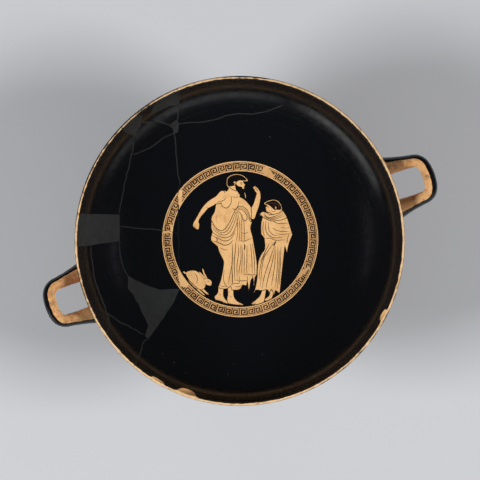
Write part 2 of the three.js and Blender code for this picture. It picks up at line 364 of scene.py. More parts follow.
# %% The painter's list
PAINT_COUNT = 12
BLACK, CLAY, LINE, WASH, BAND, PALE, HAIR, RED, FILL, SEAM, CHIP, FAINT_SEAM = range(PAINT_COUNT)
CONTOUR = 0.5  # mm, the relief line round each form
BRUSH = 1.45  # the painter's brush makes each line wider than it is meant by this factor
layers = []  # (outline, paint), painted one over the other


def lay(shape, paint):
    """Puts an outline on top of the list."""
    layers.append((np.asarray(shape, float), paint))


def form(shape, paint=CLAY, edge=CONTOUR):
    """A form filled with one paint, with a relief line along its edge."""
    outer, inner = closed_ribbon(shape, edge)
    lay(outer if area(outer) > area(inner) else inner, LINE)
    lay(inner if area(outer) > area(inner) else outer, paint)


def area(shape):
    """The area inside a closed outline, by the sum of cross products."""
    x, y = np.asarray(shape).T
    return abs(np.dot(x, np.roll(y, -1)) - np.dot(y, np.roll(x, -1))) / 2


def lines(width, group, paint=LINE):
    """Brush lines along ready-made curves."""
    for one in group:
        lay(ribbon(one, width * BRUSH), paint)


def line(width, *points, paint=LINE):
    """One brush line through chosen points."""
    lines(width, [curve(points)], paint)

# %% The man's far arm, raised, with the hand at the height of the face
form(outline(
    [(6.5, 21), (9.5, 25.5), (11.2, 30.5), (12.2, 34.2)],
    [(10.6, 36.2), (9.4, 38.4)],
    [(10.7, 39.6), (12.4, 38.6), (13.6, 37.4), (14.9, 35.2)],
    [(15.3, 31.5), (14.3, 25.5), (12.2, 19.5), (10.4, 15), (7, 16)]))
line(0.28, (10.2, 38.9), (12.2, 37.2), (13.1, 35.6))
line(0.28, (9.9, 37.6), (11.2, 36.4))
print(len(layers), "forms so far")

# %% His feet, under the hem
form(outline(
    [(-16.4, -35), (-16.8, -40), (-19.2, -43), (-18.4, -45.4)],
    [(-14.5, -46.3), (-11.6, -47.6), (-8.6, -48.3)],
    [(-8.3, -47.2), (-11, -45), (-12.6, -41.5), (-12, -35)],
    []))
form(outline(
    [(-9.6, -35), (-9.2, -41), (-9.8, -45), (-8.9, -48.1)],
    [(-4, -48.9), (1.8, -49.4)],
    [(2.2, -48.4), (-1.8, -46.6), (-4.4, -43.6), (-5, -40), (-4.8, -35)],
    []))
for toe in (-0.9, 0.2, 1.2):
    line(0.22, (toe, -48.1), (toe + 0.7, -48.9))
line(0.24, (-7.6, -42.6), (-6.4, -43.4))
line(0.24, (-15.6, -41), (-14.6, -41.9))
print(len(layers), "forms so far")

# %% His chest and near arm
form(outline(
    [(-9.8, 35.6), (-12.4, 36.3), (-15.2, 35.6), (-18, 32.2)],
    [(-18.2, 26.2), (-19.2, 20.4), (-21.2, 16.8), (-22, 12.4), (-21.6, 8.6), (-20, 2)],
    [(-8, -2), (6, 2), (8.2, 12), (8.2, 23.5)],
    [(6.1, 26.5), (2.7, 29.8), (-1.5, 32)],
    []))
form(outline(
    [(-12, 28.8), (-11.2, 32.6), (-12.2, 35.9), (-14.9, 35.6), (-18.2, 32), (-23, 29), (-26.6, 25.6),
     (-29.6, 21.6), (-32.3, 16.7), (-34.9, 12.4)],
    [(-35.4, 9.8), (-33.8, 8)],
    [(-31.3, 7.2), (-30.4, 10.6), (-31, 13.4), (-29.2, 16.7), (-26.4, 20), (-23.9, 22.9), (-20.4, 24.8),
     (-18.1, 26.2)],
    [(-14.5, 26.7)]))
lay(loop((-17.6, 30), (-14.6, 34.6), (-9.6, 33.6), (-8.4, 29.6), (-12.4, 27.4), (-16.6, 27.6)), CLAY)
line(0.24, (-35, 9.9), (-33.2, 9.6))
line(0.24, (-34.4, 8.6), (-32.6, 8.7))
line(0.22, (-25.6, 23.6), (-23.8, 23))
line(0.28, (-17.6, 27.4), (-14.4, 28.2), (-11.8, 29.2), (-11, 31))
line(0.36, (-14.6, 27.2), (-13.2, 24.4), (-10.3, 23.1), (-7.8, 25.2), (-6.5, 28.6), (-6.8, 32.4))
line(0.32, (-5.8, 23), (-3.9, 22.2), (-1.8, 24.3), (-0.9, 28.4))
line(0.24, (-6, 31.8), (-3.8, 31.1), (-1.4, 31.6))
line(0.24, (-11, 20), (-11.6, 14), (-10.6, 10.4), paint=WASH)
line(0.24, (-17, 19), (-18, 15), (-17, 11.4), paint=WASH)
print(len(layers), "forms so far")

# %% His cloak, slung round the hips and over the raised arm, and the long skirt
cloak_top = [(-21.5, 14.4), (-19.8, 10.8), (-17.2, 7.6), (-13.8, 6.2), (-10.6, 8.4), (-7.8, 12.8),
    (-5.6, 17.8), (-3.7, 21.6)]
inner_edge = curve(cloak_top)
outer_edge = curve([(-20.8, 5.4), (-18.4, 3.4), (-14.8, 1.6), (-10.6, 1), (-6.4, 3), (-3.6, 8.6),
    (-1.9, 14.4), (-1.2, 19)])
form(outline(
    cloak_top,
    [(-1.1, 24.2), (2.3, 24), (5.7, 20.8), (7.4, 16)],
    [(8.8, 12.4)],
    [(7.7, 9), (8, 6), (9.1, 2.2), (9.9, -2.1), (11.2, -9.7), (12.4, -17.8), (12.4, -26.6)],
    [(11, -29), (10.3, -35)],
    [(9.5, -29.2), (7.9, -30.8)],
    [(6.4, -39.4)],
    [(5.4, -31)],
    [(4.5, -34.6), (1.8, -34.4), (0.2, -37.2)],
    [(-2, -38), (-6.2, -38)],
    [(-7.2, -34.8)],
    [(-9.4, -36.8), (-12.8, -37.2), (-16.6, -36.2)],
    [(-14.6, -31), (-13.2, -24.6), (-12.4, -19.2), (-12.6, -16), (-15.3, -10.6), (-16.9, -5.6)],
    [(-21.3, -1.6), (-21.8, 1.4), (-20.8, 5.4), (-21.7, 8.4)]))
print(len(layers), "forms so far")

# %% The folds of his cloak and skirt
lines(0.3, [inner_edge * (1 - share) + outer_edge * share for share in (0.3, 0.62)])
lay(ribbon(outer_edge, 0.5), LINE)
line(0.34, (-21.2, 2.6), (-16.6, 0.6), (-12.4, -1.4), (-8.1, -0.6), (-5.4, 2.4), (-3.6, 6.4))
line(0.4, (-20.6, -1.2), (-16.2, -2.8), (-11.9, -4.6), (-7.9, -3.6), (-5.4, -1))
line(0.34, (-18.6, 1.4), (-17, -0.6), (-18.4, -2.2))
line(0.28, (-15, -6.3), (-12.4, -7.8), (-9.4, -8.3))
line(0.3, (-3.4, 19), (-1.1, 20.4), (0.6, 18.2), (1.3, 15), (2.6, 12.6))
line(0.36, (-2.8, 20.9), (-0.3, 22.4), (2.7, 20.9), (4.7, 18), (5.1, 15.2), (3.6, 13.6), (1.9, 15.6),
    (1.3, 18.6))
line(0.28, (-2.2, 22.2), (0.4, 23.3), (3.8, 21.4), (6, 17.6), (6.4, 14))
line(0.34, (6.9, 16.6), (7.2, 13.8), (8.6, 12.6))
lines(0.3, between(
    [(-3.2, 16), (-2.6, 8), (-3.6, -2)],
    [(6.6, 13), (6.2, 6), (7.6, -3)],
    (0.06, 0.24, 0.4, 0.6), bend=0.03))
line(0.26, (0.4, 4.9), (3.2, 4.2), (6.2, 5.2))
line(0.26, (-1, -0.6), (3, -1.6), (6.6, -0.2), (8.6, 0.4))
line(0.62, (3.1, -3.6), (3.4, -6), (2.9, -8.6))
line(0.44, (-6, -3.4), (-5.8, -12), (-6.2, -22), (-5.7, -31.4), (-6.6, -34.6))
line(0.4, (-3.4, -2.2), (-3.8, -10), (-4.5, -18), (-4, -30.4))
line(0.3, (-12, -22.6), (-12.4, -30.6), (-10.8, -34.4), (-9.4, -36.2))
line(0.28, (-6.6, -20), (-7.6, -26), (-9, -34))
lines(0.32, [curve(path) for path in (
    [(-1.6, -4), (-1.2, -10), (-2.4, -20), (-2.2, -30.2)],
    [(0.2, -4.6), (0.6, -14), (-0.6, -22), (-1.2, -27.4)],
    [(1, -4), (1.6, -12), (0.9, -26.4)],
    [(2.9, -9), (3, -18), (2.8, -26.4)],
    [(5, -5), (5, -14), (4.6, -25.4)],
    [(7.6, -3.6), (8.6, -14), (9, -26)],
    [(9, -3), (10.4, -14), (10.8, -26)])])
line(0.32, (2.6, -26.7), (5.6, -26.2), (8.6, -26.9), (12.2, -26.2))
line(0.32, (-0.6, -27.6), (-0.4, -30.8), (2.4, -31.2), (5.4, -30.6), (5.2, -27.2))
line(0.32, (-4.6, -30.6), (-2, -30.9), (-0.6, -31.6), (-1.4, -33.2), (-4.8, -33.2), (-5.6, -34.8))
line(0.26, (-4.6, -35.4), (-1, -35.6), (0.8, -34.2))
line(0.3, (8.8, -27.2), (9.4, -29))
line(0.22, (-15.8, -34.6), (-12.4, -35.6), (-8.6, -35))
print(len(layers), "forms so far")

# %% His neck and head in profile, with hair and a pointed beard
lay(outline(
    [(-9.2, 41), (-8.8, 37.6), (-9.9, 35.5)],
    [(-9.2, 33.4), (-5, 32.2), (-0.6, 31.2)],
    [(0, 36), (-2, 41)],
    []), CLAY)
line(0.42, (-9.2, 39.6), (-8.8, 37.6), (-10, 35.5))
form(outline(
    [(-8.4, 44.6), (-4, 46.2), (1.4, 44.6)],
    [(2.5, 42.6), (2.8, 41.7)],
    [(4.1, 40.1)],
    [(3, 39.6), (3.4, 38.9), (2.8, 38.2), (3, 37.5), (2, 36.5), (0, 36)],
    [(-4.4, 36.4), (-8.4, 39.4)]))
line(0.26, (-0.4, 41.8), (0.8, 42.2), (2, 41.8))
line(0.22, (-0.2, 40.9), (0.9, 41.3), (1.7, 40.9))
line(0.5, (0.7, 40.9), (1.1, 40.6))
lay(loop((-10, 42.6), (-9.4, 45.5), (-6.6, 47.6), (-2.2, 48.4), (2.2, 47.2), (5.6, 43.7), (2.6, 43.3),
    (-0.4, 43.3), (-2.4, 42), (-2.8, 40.1), (-5, 39.4), (-8.4, 38.9), (-9.8, 40)), CLAY)
lay(loop((-9.7, 42.6), (-9.1, 45.3), (-6.4, 47.3), (-2.1, 48.1), (1.9, 47), (4.9, 44.1), (2.3, 43.6),
    (-0.7, 43.7), (-2.8, 42.3), (-3.1, 40.3), (-5.2, 39.7), (-8.2, 39.2), (-9.5, 40.2)), HAIR)
line(0.5, (-5, 42), (-3.9, 42.8), (-3.8, 41.3), (-4.5, 40.6), paint=CLAY)
lay(loop((-3.4, 41.2), (-1.4, 39.6), (0.5, 39.2), (1.5, 38.7), (2, 37.7), (3, 37), (3.9, 33.8),
    (3.2, 30.6), (1.2, 31.2), (-1.6, 34.6), (-3.5, 37.8)), HAIR)
line(0.3, (1.5, 38), (2.3, 38.1), paint=CLAY)
line(0.3, (3.2, 34.6), (3.9, 32.4), (3.9, 30.6), paint=PALE)
print(len(layers), "forms so far")

# %% The youth's feet and cloak
form(outline(
    [(16.4, -38), (14.6, -42.4), (11.4, -45.6), (8.6, -47.6)],
    [(8.9, -48.7), (13, -48.6), (17.4, -47.2)],
    [(18.2, -45), (19.4, -38)],
    []))
form(outline(
    [(22.4, -38), (21.6, -42), (18.6, -44.6), (17.9, -46)],
    [(20.6, -45.9), (23.6, -44.2)],
    [(24.6, -41.6), (25.4, -38)],
    []))
for toe in (9.6, 10.6, 11.7):
    line(0.2, (toe, -47.2), (toe - 0.4, -48.2))
form(outline(
    [(22.2, 22), (20.6, 19.6), (17, 20.4), (14.6, 19), (15, 17.4), (16.6, 16.6), (15.8, 12.6),
     (15.4, 8.6), (15.6, 3.6)],
    [(18, 0.8)],
    [(18.4, -7), (15.9, -11.2), (13.7, -16.4), (12.9, -22.5), (12.6, -29), (11.6, -35.2), (10.4, -39.8)],
    [(12, -38), (16.3, -38.4), (20.1, -37.8), (21.8, -40.2)],
    [(23.4, -37.6), (25.6, -42.4)],
    [(26.2, -38.4), (29.3, -40.4)],
    [(29.9, -37), (30.9, -26.5), (32.1, -16), (33.3, -5)],
    [(34.8, -10.4)],
    [(36.4, -3.2), (38.9, 3.4)],
    [(37.5, 8), (36.3, 12), (34.8, 16.2), (32.8, 20), (31, 22.6)],
    []))
print(len(layers), "forms so far")

# %% The folds of the youth's cloak
for path in (
        [(25.8, -2), (20.4, -9.4), (16.8, -17.4), (15, -35.6)],
        [(26, -4), (22, -15.6), (17.8, -28.6), (16.4, -37.4)],
        [(26.4, -5), (24, -17), (20.4, -30.6), (19.2, -37)],
        [(26.8, -7), (25.4, -22), (23.2, -35)],
        [(28.2, -5), (27.6, -22), (26.3, -36)],
        [(29.2, -8), (28.8, -24), (27.8, -37)],
        [(30.4, -5), (29.9, -20), (29.2, -34)],
        [(22, -3), (18.6, -9.6), (15, -17)],
        [(19, -10), (15.6, -18), (14, -30)]):
    line(0.34, *path)
line(0.7, (26.6, -1.4), (26, -3), (24.6, -5.2))
line(0.34, (19.2, 0.4), (22.7, 0.6), (26.4, -0.9), (33.2, -0.5))
line(0.32, (23.5, 13.8), (28.4, 11.7), (35.8, 12))
line(0.32, (23.9, 8.4), (28.6, 6), (36.8, 5.8))
line(0.26, (26, 4.6), (31, 3.4), (37.8, 4.4))
line(0.36, (19.2, 14), (19, 7), (21.6, 2.6), (26.6, 0.8), (32, 1.6))
line(0.3, (21, 13), (21.3, 7), (24.2, 3.4), (29.6, 2.2))
line(0.3, (17.4, 13.4), (16.9, 7), (18.2, 1.8))
line(0.3, (34.8, -3.4), (35.4, 0.6), (36.8, 4.6))
line(0.22, (30.4, 8.8), (34, 8.2), (37, 8.8))
form(outline(
    [(14.6, 19), (17, 20.4), (20.2, 19.4), (22.2, 18), (26, 19.4), (30.4, 21.4), (31.6, 21.6)],
    [(34.6, 16.4), (31, 14.4), (26, 13.6), (21.4, 14), (16.7, 16.6)]))
lines(0.3, between(
    [(16.6, 18.6), (21.6, 16.4), (27, 17.8), (32, 20)],
    [(18, 16), (21.6, 14.6), (26.4, 14.4), (33, 16.6)],
    (0.1, 0.45, 0.8), bend=0.05))
line(0.26, (17.6, 19.6), (19.6, 16.8), (21.4, 15.2))
print(len(layers), "forms so far")

# %% The youth's head
form(outline(
    [(24, 26.8), (20.5, 26.6), (19.6, 24.5)],
    [(18.6, 23.2)],
    [(19.3, 22.8), (18.9, 22.1), (19.3, 21.6), (19.3, 20.8), (20.6, 20), (22.1, 19.6)],
    [(24.2, 18.4), (28.6, 19.4), (31, 20.8)],
    [(30.6, 23.6)]))
line(0.22, (19.8, 24.4), (20.7, 24.7), (21.5, 24.4))
line(0.2, (20.1, 23.8), (20.8, 24), (21.5, 23.8))
line(0.4, (20.5, 23.7), (20.8, 23.5))
line(0.2, (19.2, 21.6), (19.8, 21.6))
line(0.2, (23.2, 21.4), (24.4, 20.6), (27, 20.6))
lay(loop((17.9, 26.4), (19.2, 27.6), (21.6, 28.7), (25, 29.3), (27.9, 28.4), (30.1, 25.8), (31.1, 22.6),
    (29.8, 21.4), (27.6, 21.4), (25.6, 21.2), (24, 22.2), (22.2, 24), (20.4, 25)), CLAY)
lay(loop((18.6, 26.2), (19.6, 27.4), (22, 28.4), (25, 29), (27.7, 28.1), (29.9, 25.6), (30.8, 22.7),
    (29.4, 21.8), (27.6, 21.9), (25.6, 21.8), (24.2, 22.8), (22.4, 24.6), (20.8, 25.6)), HAIR)
for path in (
        [(25.8, 25.6), (26.4, 24), (26.3, 22.2)],
        [(23.4, 26.6), (25.4, 24.8), (25.2, 22.6)],
        [(28, 26), (28.8, 24), (28.6, 22.4)]):
    line(0.16, *path, paint=RED)
line(0.42, (25.9, 24), (26.7, 23.6), (26.4, 22.4), paint=CLAY)
line(0.2, (20.2, 26.5), (24.5, 27), (28, 25.8), (30, 23.8), paint=RED)
print(len(layers), "forms so far")

# %% The hare
form(outline(
    [(-28.4, -36), (-25.8, -38.6), (-23.4, -41.2)],
    [(-24.4, -41.4), (-27.4, -39.4), (-30, -37.4)],
    []), edge=0.26)
form(outline(
    [(-31.2, -36.6), (-28.8, -39.2), (-26.2, -41.4)],
    [(-27.2, -41.9), (-30, -39.8), (-32.6, -37.6)],
    []), edge=0.26)
form(loop((-38.6, -30.4), (-36.6, -31.4), (-34, -34.6), (-31.6, -36.4), (-31.6, -37.4), (-34.4, -36),
    (-37.4, -32.8)), BAND, edge=0.26)
form(loop((-40.6, -26.2), (-40, -24.5), (-37.4, -23.5), (-34, -23.5), (-31.1, -24.8), (-28.9, -27.4),
    (-26.4, -29.5), (-25.6, -32.4), (-26.4, -36.2), (-29, -37.8), (-32, -36.6), (-35.2, -33.8),
    (-38.4, -30.2)), edge=0.4)
form(loop((-26.8, -29.6), (-24.8, -29.4), (-22.6, -30.3), (-21.2, -32.2), (-21.8, -34.6), (-24, -34.6),
    (-26, -33.4), (-27.4, -31.6)), edge=0.32)
lay(loop((-28, -31), (-26, -30.6), (-25.4, -32.4), (-26.4, -34.2), (-28, -34)), CLAY)
form(loop((-26.6, -29.7), (-28.6, -28.1), (-30.7, -24.9), (-30, -24.6), (-27.8, -26.8), (-25.7, -29.1)),
    edge=0.22)
form(loop((-25.6, -29.4), (-27.5, -26.2), (-28.4, -22.4), (-27.6, -22.5), (-26.4, -25.6),
    (-24.5, -29.2)), edge=0.22)
line(0.3, (-34.2, -25.4), (-32, -28.8), (-32.7, -33.4))
line(0.24, (-26.8, -31.2), (-26, -33.2), (-27.2, -35), paint=WASH)
line(0.55, (-24.3, -31.4), (-23.6, -31.6))
line(0.22, (-22.6, -33.8), (-21.8, -33.4))
line(0.7, (-42.3, -24.1), (-41.4, -25.2), (-40.4, -25.2), paint=CLAY)
lines(0.2, between(
    [(-39.6, -25.6), (-37.4, -25.2), (-35.4, -26)],
    [(-38, -29.4), (-36.4, -28.8), (-34.6, -29.6)],
    (0.1, 0.5), bend=0.02), paint=WASH)
print(len(layers), "forms so far")

# %% [markdown]
# The border of the round is a running key pattern, a common ornament of Greek pottery,
# drawn with a brush between two reserved rings. One key is a line that turns in on itself.
# It is bent round the circle by using the angle as its first axis and the radius as its
# second. An Array modifier on a curve could repeat it too, but then each key would be the
# same. Here a seeded hand makes them differ a little.

# %% The key border
BORDER_OUTER = 58.1
BORDER_INNER = 50.7
BORDER_RING = 0.75  # width of the plain reserved rings
KEY_COUNT = 60
KEY_STROKE = 0.88
border_picture = layers
layers = []


def stroke(path, width):
    """A brush line with square corners: every point moved half the width to either side along
    the sum of its two neighbouring normals, lengthened so that the width stays even."""
    path = np.asarray(path, float)
    step = np.diff(path, axis=0)
    normal = np.stack([-step[:, 1], step[:, 0]], 1) / np.linalg.norm(step, axis=1, keepdims=True)
    before, after = np.vstack([normal[:1], normal]), np.vstack([normal, normal[-1:]])
    side = (before + after) / (1 + (before * after).sum(1, keepdims=True)) * width / 2
    return np.vstack([path + side, (path - side)[::-1]])


def bent(shape, inner):
    """Carries a drawing from a straight strip to a ring: x becomes arc length on the middle
    circle and y the distance outwards."""
    middle = (BORDER_OUTER + BORDER_INNER) / 2
    angle = -shape[:, 0] / middle
    return (inner + shape[:, 1])[:, None] * np.stack([np.cos(angle), np.sin(angle)], 1)


lay(circle(BORDER_OUTER, 240), CLAY)
lay(circle(BORDER_OUTER - BORDER_RING, 240), LINE)
lay(circle(BORDER_OUTER - BORDER_RING - 0.4, 240), BAND)
lay(circle(BORDER_INNER + BORDER_RING + 0.4, 220), LINE)
lay(circle(BORDER_INNER + BORDER_RING, 220), CLAY)
hand = np.random.default_rng(5)
key_length = np.pi * (BORDER_OUTER + BORDER_INNER) / KEY_COUNT
key_inner = BORDER_INNER + BORDER_RING + 0.4
key_height = BORDER_OUTER - BORDER_INNER - 2 * BORDER_RING - 0.8
key_path = np.array([(0.1, -0.02), (0.1, 0.82), (0.84, 0.82), (0.84, 0.24), (0.36, 0.24), (0.36, 0.58),
                     (0.62, 0.58)])
for key in range(KEY_COUNT):
    wobble = hand.normal(0, 0.02, key_path.shape) + hand.normal(0, 0.02, 2)
    wobble[0] = wobble[0, 0], 0
    path = (key_path + wobble) * (key_length, key_height) + (key * key_length, 0)
    lay(bent(stroke(path, KEY_STROKE * hand.uniform(0.85, 1.15)), key_inner), LINE)
lay(circle(BORDER_INNER, 220), BLACK)
layers += border_picture
print(f"{len(layers)} painted forms, {sum(len(shape) for shape, _ in layers)} points")

# %% [markdown]
# The cup was broken once and put together again. The joints show as thin matt lines, and
# where pieces were lost the gaps were filled and toned a dark grey. They could be separate
# strips of material, but they lie flush in the wall, so they are areas of the same surface,
# and only the middle of each joint is sunk a little. As they go right through the wall, the
# same places show on the outside.

# %% Joints and fills, seen from above
JOINT_WIDTH = 0.85
JOINT_DEPTH = 0.16
joints = [
    [(-48, 117), (-44.5, 107), (-45.5, 91), (-48.5, 83.5), (-48, 74), (-46.5, 53), (-45, 41)],
    [(-45, 41), (-46, 33.5), (-46, 3.5), (-45.5, -26.5)],
    [(-58, 6.5), (-46, 4)],
    [(-46.5, 86), (-24, 87.5), (-7, 92.5), (13, 93.5), (31.5, 99)],
    [(-71, 86.5), (-60.5, 87), (-52, 84.5), (-49, 83.5)],
    [(-78.5, 63), (-66.5, 68), (-56.5, 75), (-49, 79)],
    [(-77.5, 76.5), (-79.5, 63), (-84.5, 45), (-88, 27), (-89.5, 19.5)],
    [(-88.5, 10), (-76, 8.5), (-65.5, 7.5), (-58, 6.5)],
    [(-89, -1), (-89, -10), (-86.5, -20.5), (-83, -27)],
    [(-97.5, -53.5), (-87.5, -60.5), (-71.5, -70)],
    [(-109.5, -4.5), (-108.5, -17), (-105, -34), (-97.5, -53.5), (-96, -62), (-99, -80)],
    [(-67.5, -73), (-71.5, -75.5), (-74, -85), (-80, -96)],
]
FAINT_JOINTS = (1, 2)  # those inside the painted round
fills = [
    [(-87, 92), (-71, 92), (-72.5, 84), (-77.5, 76.5), (-84, 79)],
    [(-117.6, 20.5), (-111, 19.5), (-89, 18.5), (-89, 8), (-89, -1), (-109.5, -3.5), (-118, -3.5)],
    [(-83.5, -26.5), (-73, -32.5), (-60.5, -37.5), (-45, -37), (-48.5, -45.5), (-59.5, -62), (-67.5, -73),
     (-70.5, -71), (-68, -63.5), (-74, -51), (-79.5, -40), (-83, -36.5)],
    [(-52.5, 84.6), (-46, 88.6), (-44.8, 84), (-45.8, 79.5), (-48.6, 78.4), (-49.4, 82)],
    [(-65, 92.4), (-58, 95.6), (-51, 98.6), (-45.8, 99), (-43.4, 105), (-43.8, 110), (-56, 104.6),
     (-63, 98.4)],
]
worn_places = [  # of the border, down to the clay
    [(-46.4, -21.5), (-43.2, -24), (-39.4, -29.1), (-37.4, -33.4), (-40.2, -36.2), (-44.4, -35.1),
     (-46.2, -26.6)],
    [(15.3, 50.4), (17.4, 53.2), (20.5, 53.8), (23.2, 50.5), (25.7, 47.2), (24, 45.4), (19.5, 47)],
    [(-45.7, 38), (-42.4, 36.6), (-43.8, 30.4), (-42.8, 24.6), (-45.2, 22.4), (-46.4, 30)],
    [(-58, 5.8), (-50.4, 5.6), (-50.5, 4.3), (-58, 4.5)],
    [(40.4, -29.6), (45.6, -24), (50.6, -20), (51.8, -21.6), (46.4, -27.2), (42.2, -31.2)],
    [(-52.6, 11.4), (-50.8, 11.2), (-50.4, 6), (-52, 6)],
]
specks = [(-57, -84), (-48.5, -90.5), (-40, -98), (-9, -99.5), (-5, -92.5), (16.5, -85), (70, 60), (22, 76)]

# %% Draw them with an uneven hand
def uneven(path, amount, seed, step=1.6):
    """A straight-edged outline or line drawn with small random waves."""
    path = evenly(np.asarray(path, float), step)
    waves = np.random.default_rng(seed).normal(0, amount, path.shape)
    waves = (waves + np.roll(waves, 1, 0) + np.roll(waves, 2, 0)) / 3
    waves[[0, -1]] = 0
    return path + waves


joint_lines = [uneven(curve(joint), 0.28, 20 + i) for i, joint in enumerate(joints)]
mends = []
for i, shape in enumerate(fills):
    mends.append((uneven(np.vstack([shape, shape[:1]]), 0.3, 40 + i)[:-1], FILL))
for i, place in enumerate(specks):
    blot = np.asarray(place) + circle(1, 7) * hand.uniform(0.35, 0.75, (7, 1))
    mends.append((blot, FILL if i % 2 else SEAM))
for i, middle in enumerate(joint_lines):
    mends.append((ribbon(middle, JOINT_WIDTH, tip=0.8), FAINT_SEAM if i in FAINT_JOINTS else SEAM))
worn = []
for i, shape in enumerate(worn_places):
    shape = uneven(np.vstack([shape, shape[:1]]), 0.35, 60 + i, 0.9)[:-1]
    reach_out = np.linalg.norm(shape, axis=1, keepdims=True)
    shape *= np.clip(reach_out, BORDER_INNER + 0.1, BORDER_OUTER - 0.1) / reach_out
    worn.append((shape, BAND if shape[0, 0] > 0 else CLAY))
print(f"{len(joints)} joints, {len(fills)} fills, {len(specks)} specks")

# %% Turn the drawings to the cup
# The picture isn't drawn square to the handles, so everything drawn above is turned
# together, clockwise seen from above.
PICTURE_TURN = np.radians(-19.1)


def turned_by(points, angle):
    """Points turned about the cup's axis."""
    x, y = points[:, 0], points[:, 1]
    return np.stack([x * np.cos(angle) - y * np.sin(angle), x * np.sin(angle) + y * np.cos(angle)], 1)


def on_sheet(shape, flatten):
    """A drawing turned to the cup and put on one of the flat sheets."""
    return flatten(turned_by(np.asarray(shape, float), PICTURE_TURN))


inner_layers = [(on_sheet(shape, flat_inside), paint) for shape, paint in layers + mends + worn]
outer_layers = [(on_sheet(shape, flat_outside), paint) for shape, paint in mends]
inner_middles = [on_sheet(middle, flat_inside) for middle in joint_lines]
outer_middles = [on_sheet(middle, flat_outside) for middle in joint_lines]
print(f"{len(inner_layers)} outlines for the inner sheet, {len(outer_layers)} for the outer one")

# %% [markdown]
# A handle is a rolled length of clay, bent into a loop and pressed on below the lip, where
# the potter smooths its ends into the wall. It could be a curve with a bevel, joined by a
# Boolean, but that leaves a hard line at the wall. Here an oval is carried along the loop,
# its sides swell towards the wall, and each side is cut off exactly where it meets the
# wall's own formula. The same points are then used for the hole in the wall's sheet, so
# handle and wall are one skin.

# %% The loop of a handle
HANDLE_WIDTH = 9
HANDLE_HEIGHT = 8.2
HANDLE_ROOT_SPAN = 35.6
HANDLE_END_SPAN = 26.6
HANDLE_CORNER = 6
HANDLE_CORNER_ON_END = 7.5
HANDLE_END_BOW = 1.5
HANDLE_ROOT_INSET = 11
HANDLE_ROOT_DROP = 0.5
HANDLE_TOP_BELOW_LIP = 1
HANDLE_SWEEP = 1.6
HANDLE_SUNK_LENGTH = 6
HANDLE_SUNK_SLOPE = 0.4
HANDLE_FLARE = 3.8
HANDLE_FLARE_LENGTH = 11.5
HANDLE_SIDES = 40
HANDLE_ROWS = 104
end_x = handle_reach - HANDLE_WIDTH / 2
root_x = rim_radius - HANDLE_ROOT_INSET
root_half = HANDLE_ROOT_SPAN / 2
root_z = float(wall_z(np.hypot(root_x, root_half), outer_radius, outer_depth)) - HANDLE_ROOT_DROP
end_z = cup_height - HANDLE_TOP_BELOW_LIP - HANDLE_HEIGHT / 2
print(f"loop from {root_x:.1f} to {end_x:.1f} mm out, {root_z:.1f} to {end_z:.1f} mm up")

# %% Its middle line and the oval along it
def parabola(a, b, c):
    """A curve from a to c that leaves towards b and arrives from it."""
    t = np.linspace(0, 1, 120)[:, None]
    return (1 - t) ** 2 * a + 2 * t * (1 - t) * b + t**2 * c


def handle_line(step):
    """Middle line of the loop: seen from above, straight arms, corners rounded by a parabola
    and a slightly bowed end; the height grows with the distance past the root to a power."""
    end_half = HANDLE_END_SPAN / 2
    root, corner = np.array([root_x, root_half]), np.array([end_x - HANDLE_END_BOW, end_half])
    inwards = (root - corner) / np.linalg.norm(root - corner)
    arm_end, start = corner + inwards * HANDLE_CORNER, root + inwards * HANDLE_SUNK_LENGTH
    bow_slope = 2 * HANDLE_END_BOW / (HANDLE_CORNER_ON_END + end_half)
    end_start = corner + (bow_slope * HANDLE_CORNER_ON_END, -HANDLE_CORNER_ON_END)
    bow_tip = corner + (bow_slope * end_half, -end_half)
    half = np.vstack([start + (arm_end - start) * np.linspace(0, 1, 120)[:, None],
                      parabola(arm_end, corner, end_start)[1:]])
    end = parabola(end_start, bow_tip, end_start * (1, -1))[1:-1]
    plan = evenly(np.vstack([half, end, half[::-1] * (1, -1)]), step)
    out = np.maximum(plan[:, 0] - root_x, 0) / (end_x - root_x)
    sunk = np.maximum(root_x - plan[:, 0], 0) * HANDLE_SUNK_SLOPE
    return np.column_stack([plan, root_z + sunk + (end_z - root_z) * out**HANDLE_SWEEP])


def handle_skin(middle, angle):
    """The oval carried along the line, kept level across. Each point is moved outwards by a
    flare that falls off with its distance from the wall as a bell curve does."""
    along = np.gradient(middle, axis=0)
    along /= np.linalg.norm(along, axis=1, keepdims=True)
    across = np.cross([0, 0, 1], along)
    across /= np.linalg.norm(across, axis=1, keepdims=True)
    upright = np.cross(along, across)
    hand_rolled = 1 - 0.012 * (1 + np.sin(np.arange(len(middle)) * 0.021 + 1))
    offset = across[:, None] * (np.cos(angle) * HANDLE_WIDTH / 2)[None, :, None]
    offset = offset + upright[:, None] * (np.sin(angle) * HANDLE_HEIGHT / 2)[None, :, None]
    offset *= hand_rolled[:, None, None]
    skin = middle[:, None] + offset
    gap = np.hypot(skin[..., 0], skin[..., 1]) - wall_radius(skin[..., 2], outer_radius, outer_depth)
    flare = HANDLE_FLARE * np.exp(-(gap / HANDLE_FLARE_LENGTH) ** 2)
    skin += offset / np.linalg.norm(offset, axis=-1, keepdims=True) * flare[..., None]
    return skin

# %% Cut the loop off at the wall
section = 2 * np.pi * np.arange(HANDLE_SIDES) / HANDLE_SIDES
fine_skin = handle_skin(handle_line(0.12), section)
gap = np.hypot(fine_skin[..., 0], fine_skin[..., 1])
gap = gap - wall_radius(fine_skin[..., 2], outer_radius, outer_depth)
rows = len(gap)


def last_crossing(gaps):
    """For each column the fractional row of its last change from inside to outside."""
    inside_row = len(gaps) - 1 - np.argmax(gaps[::-1] < 0, axis=0)
    a, b = (np.take_along_axis(gaps, inside_row[None] + step, 0)[0] for step in (0, 1))
    return inside_row + a / (a - b)


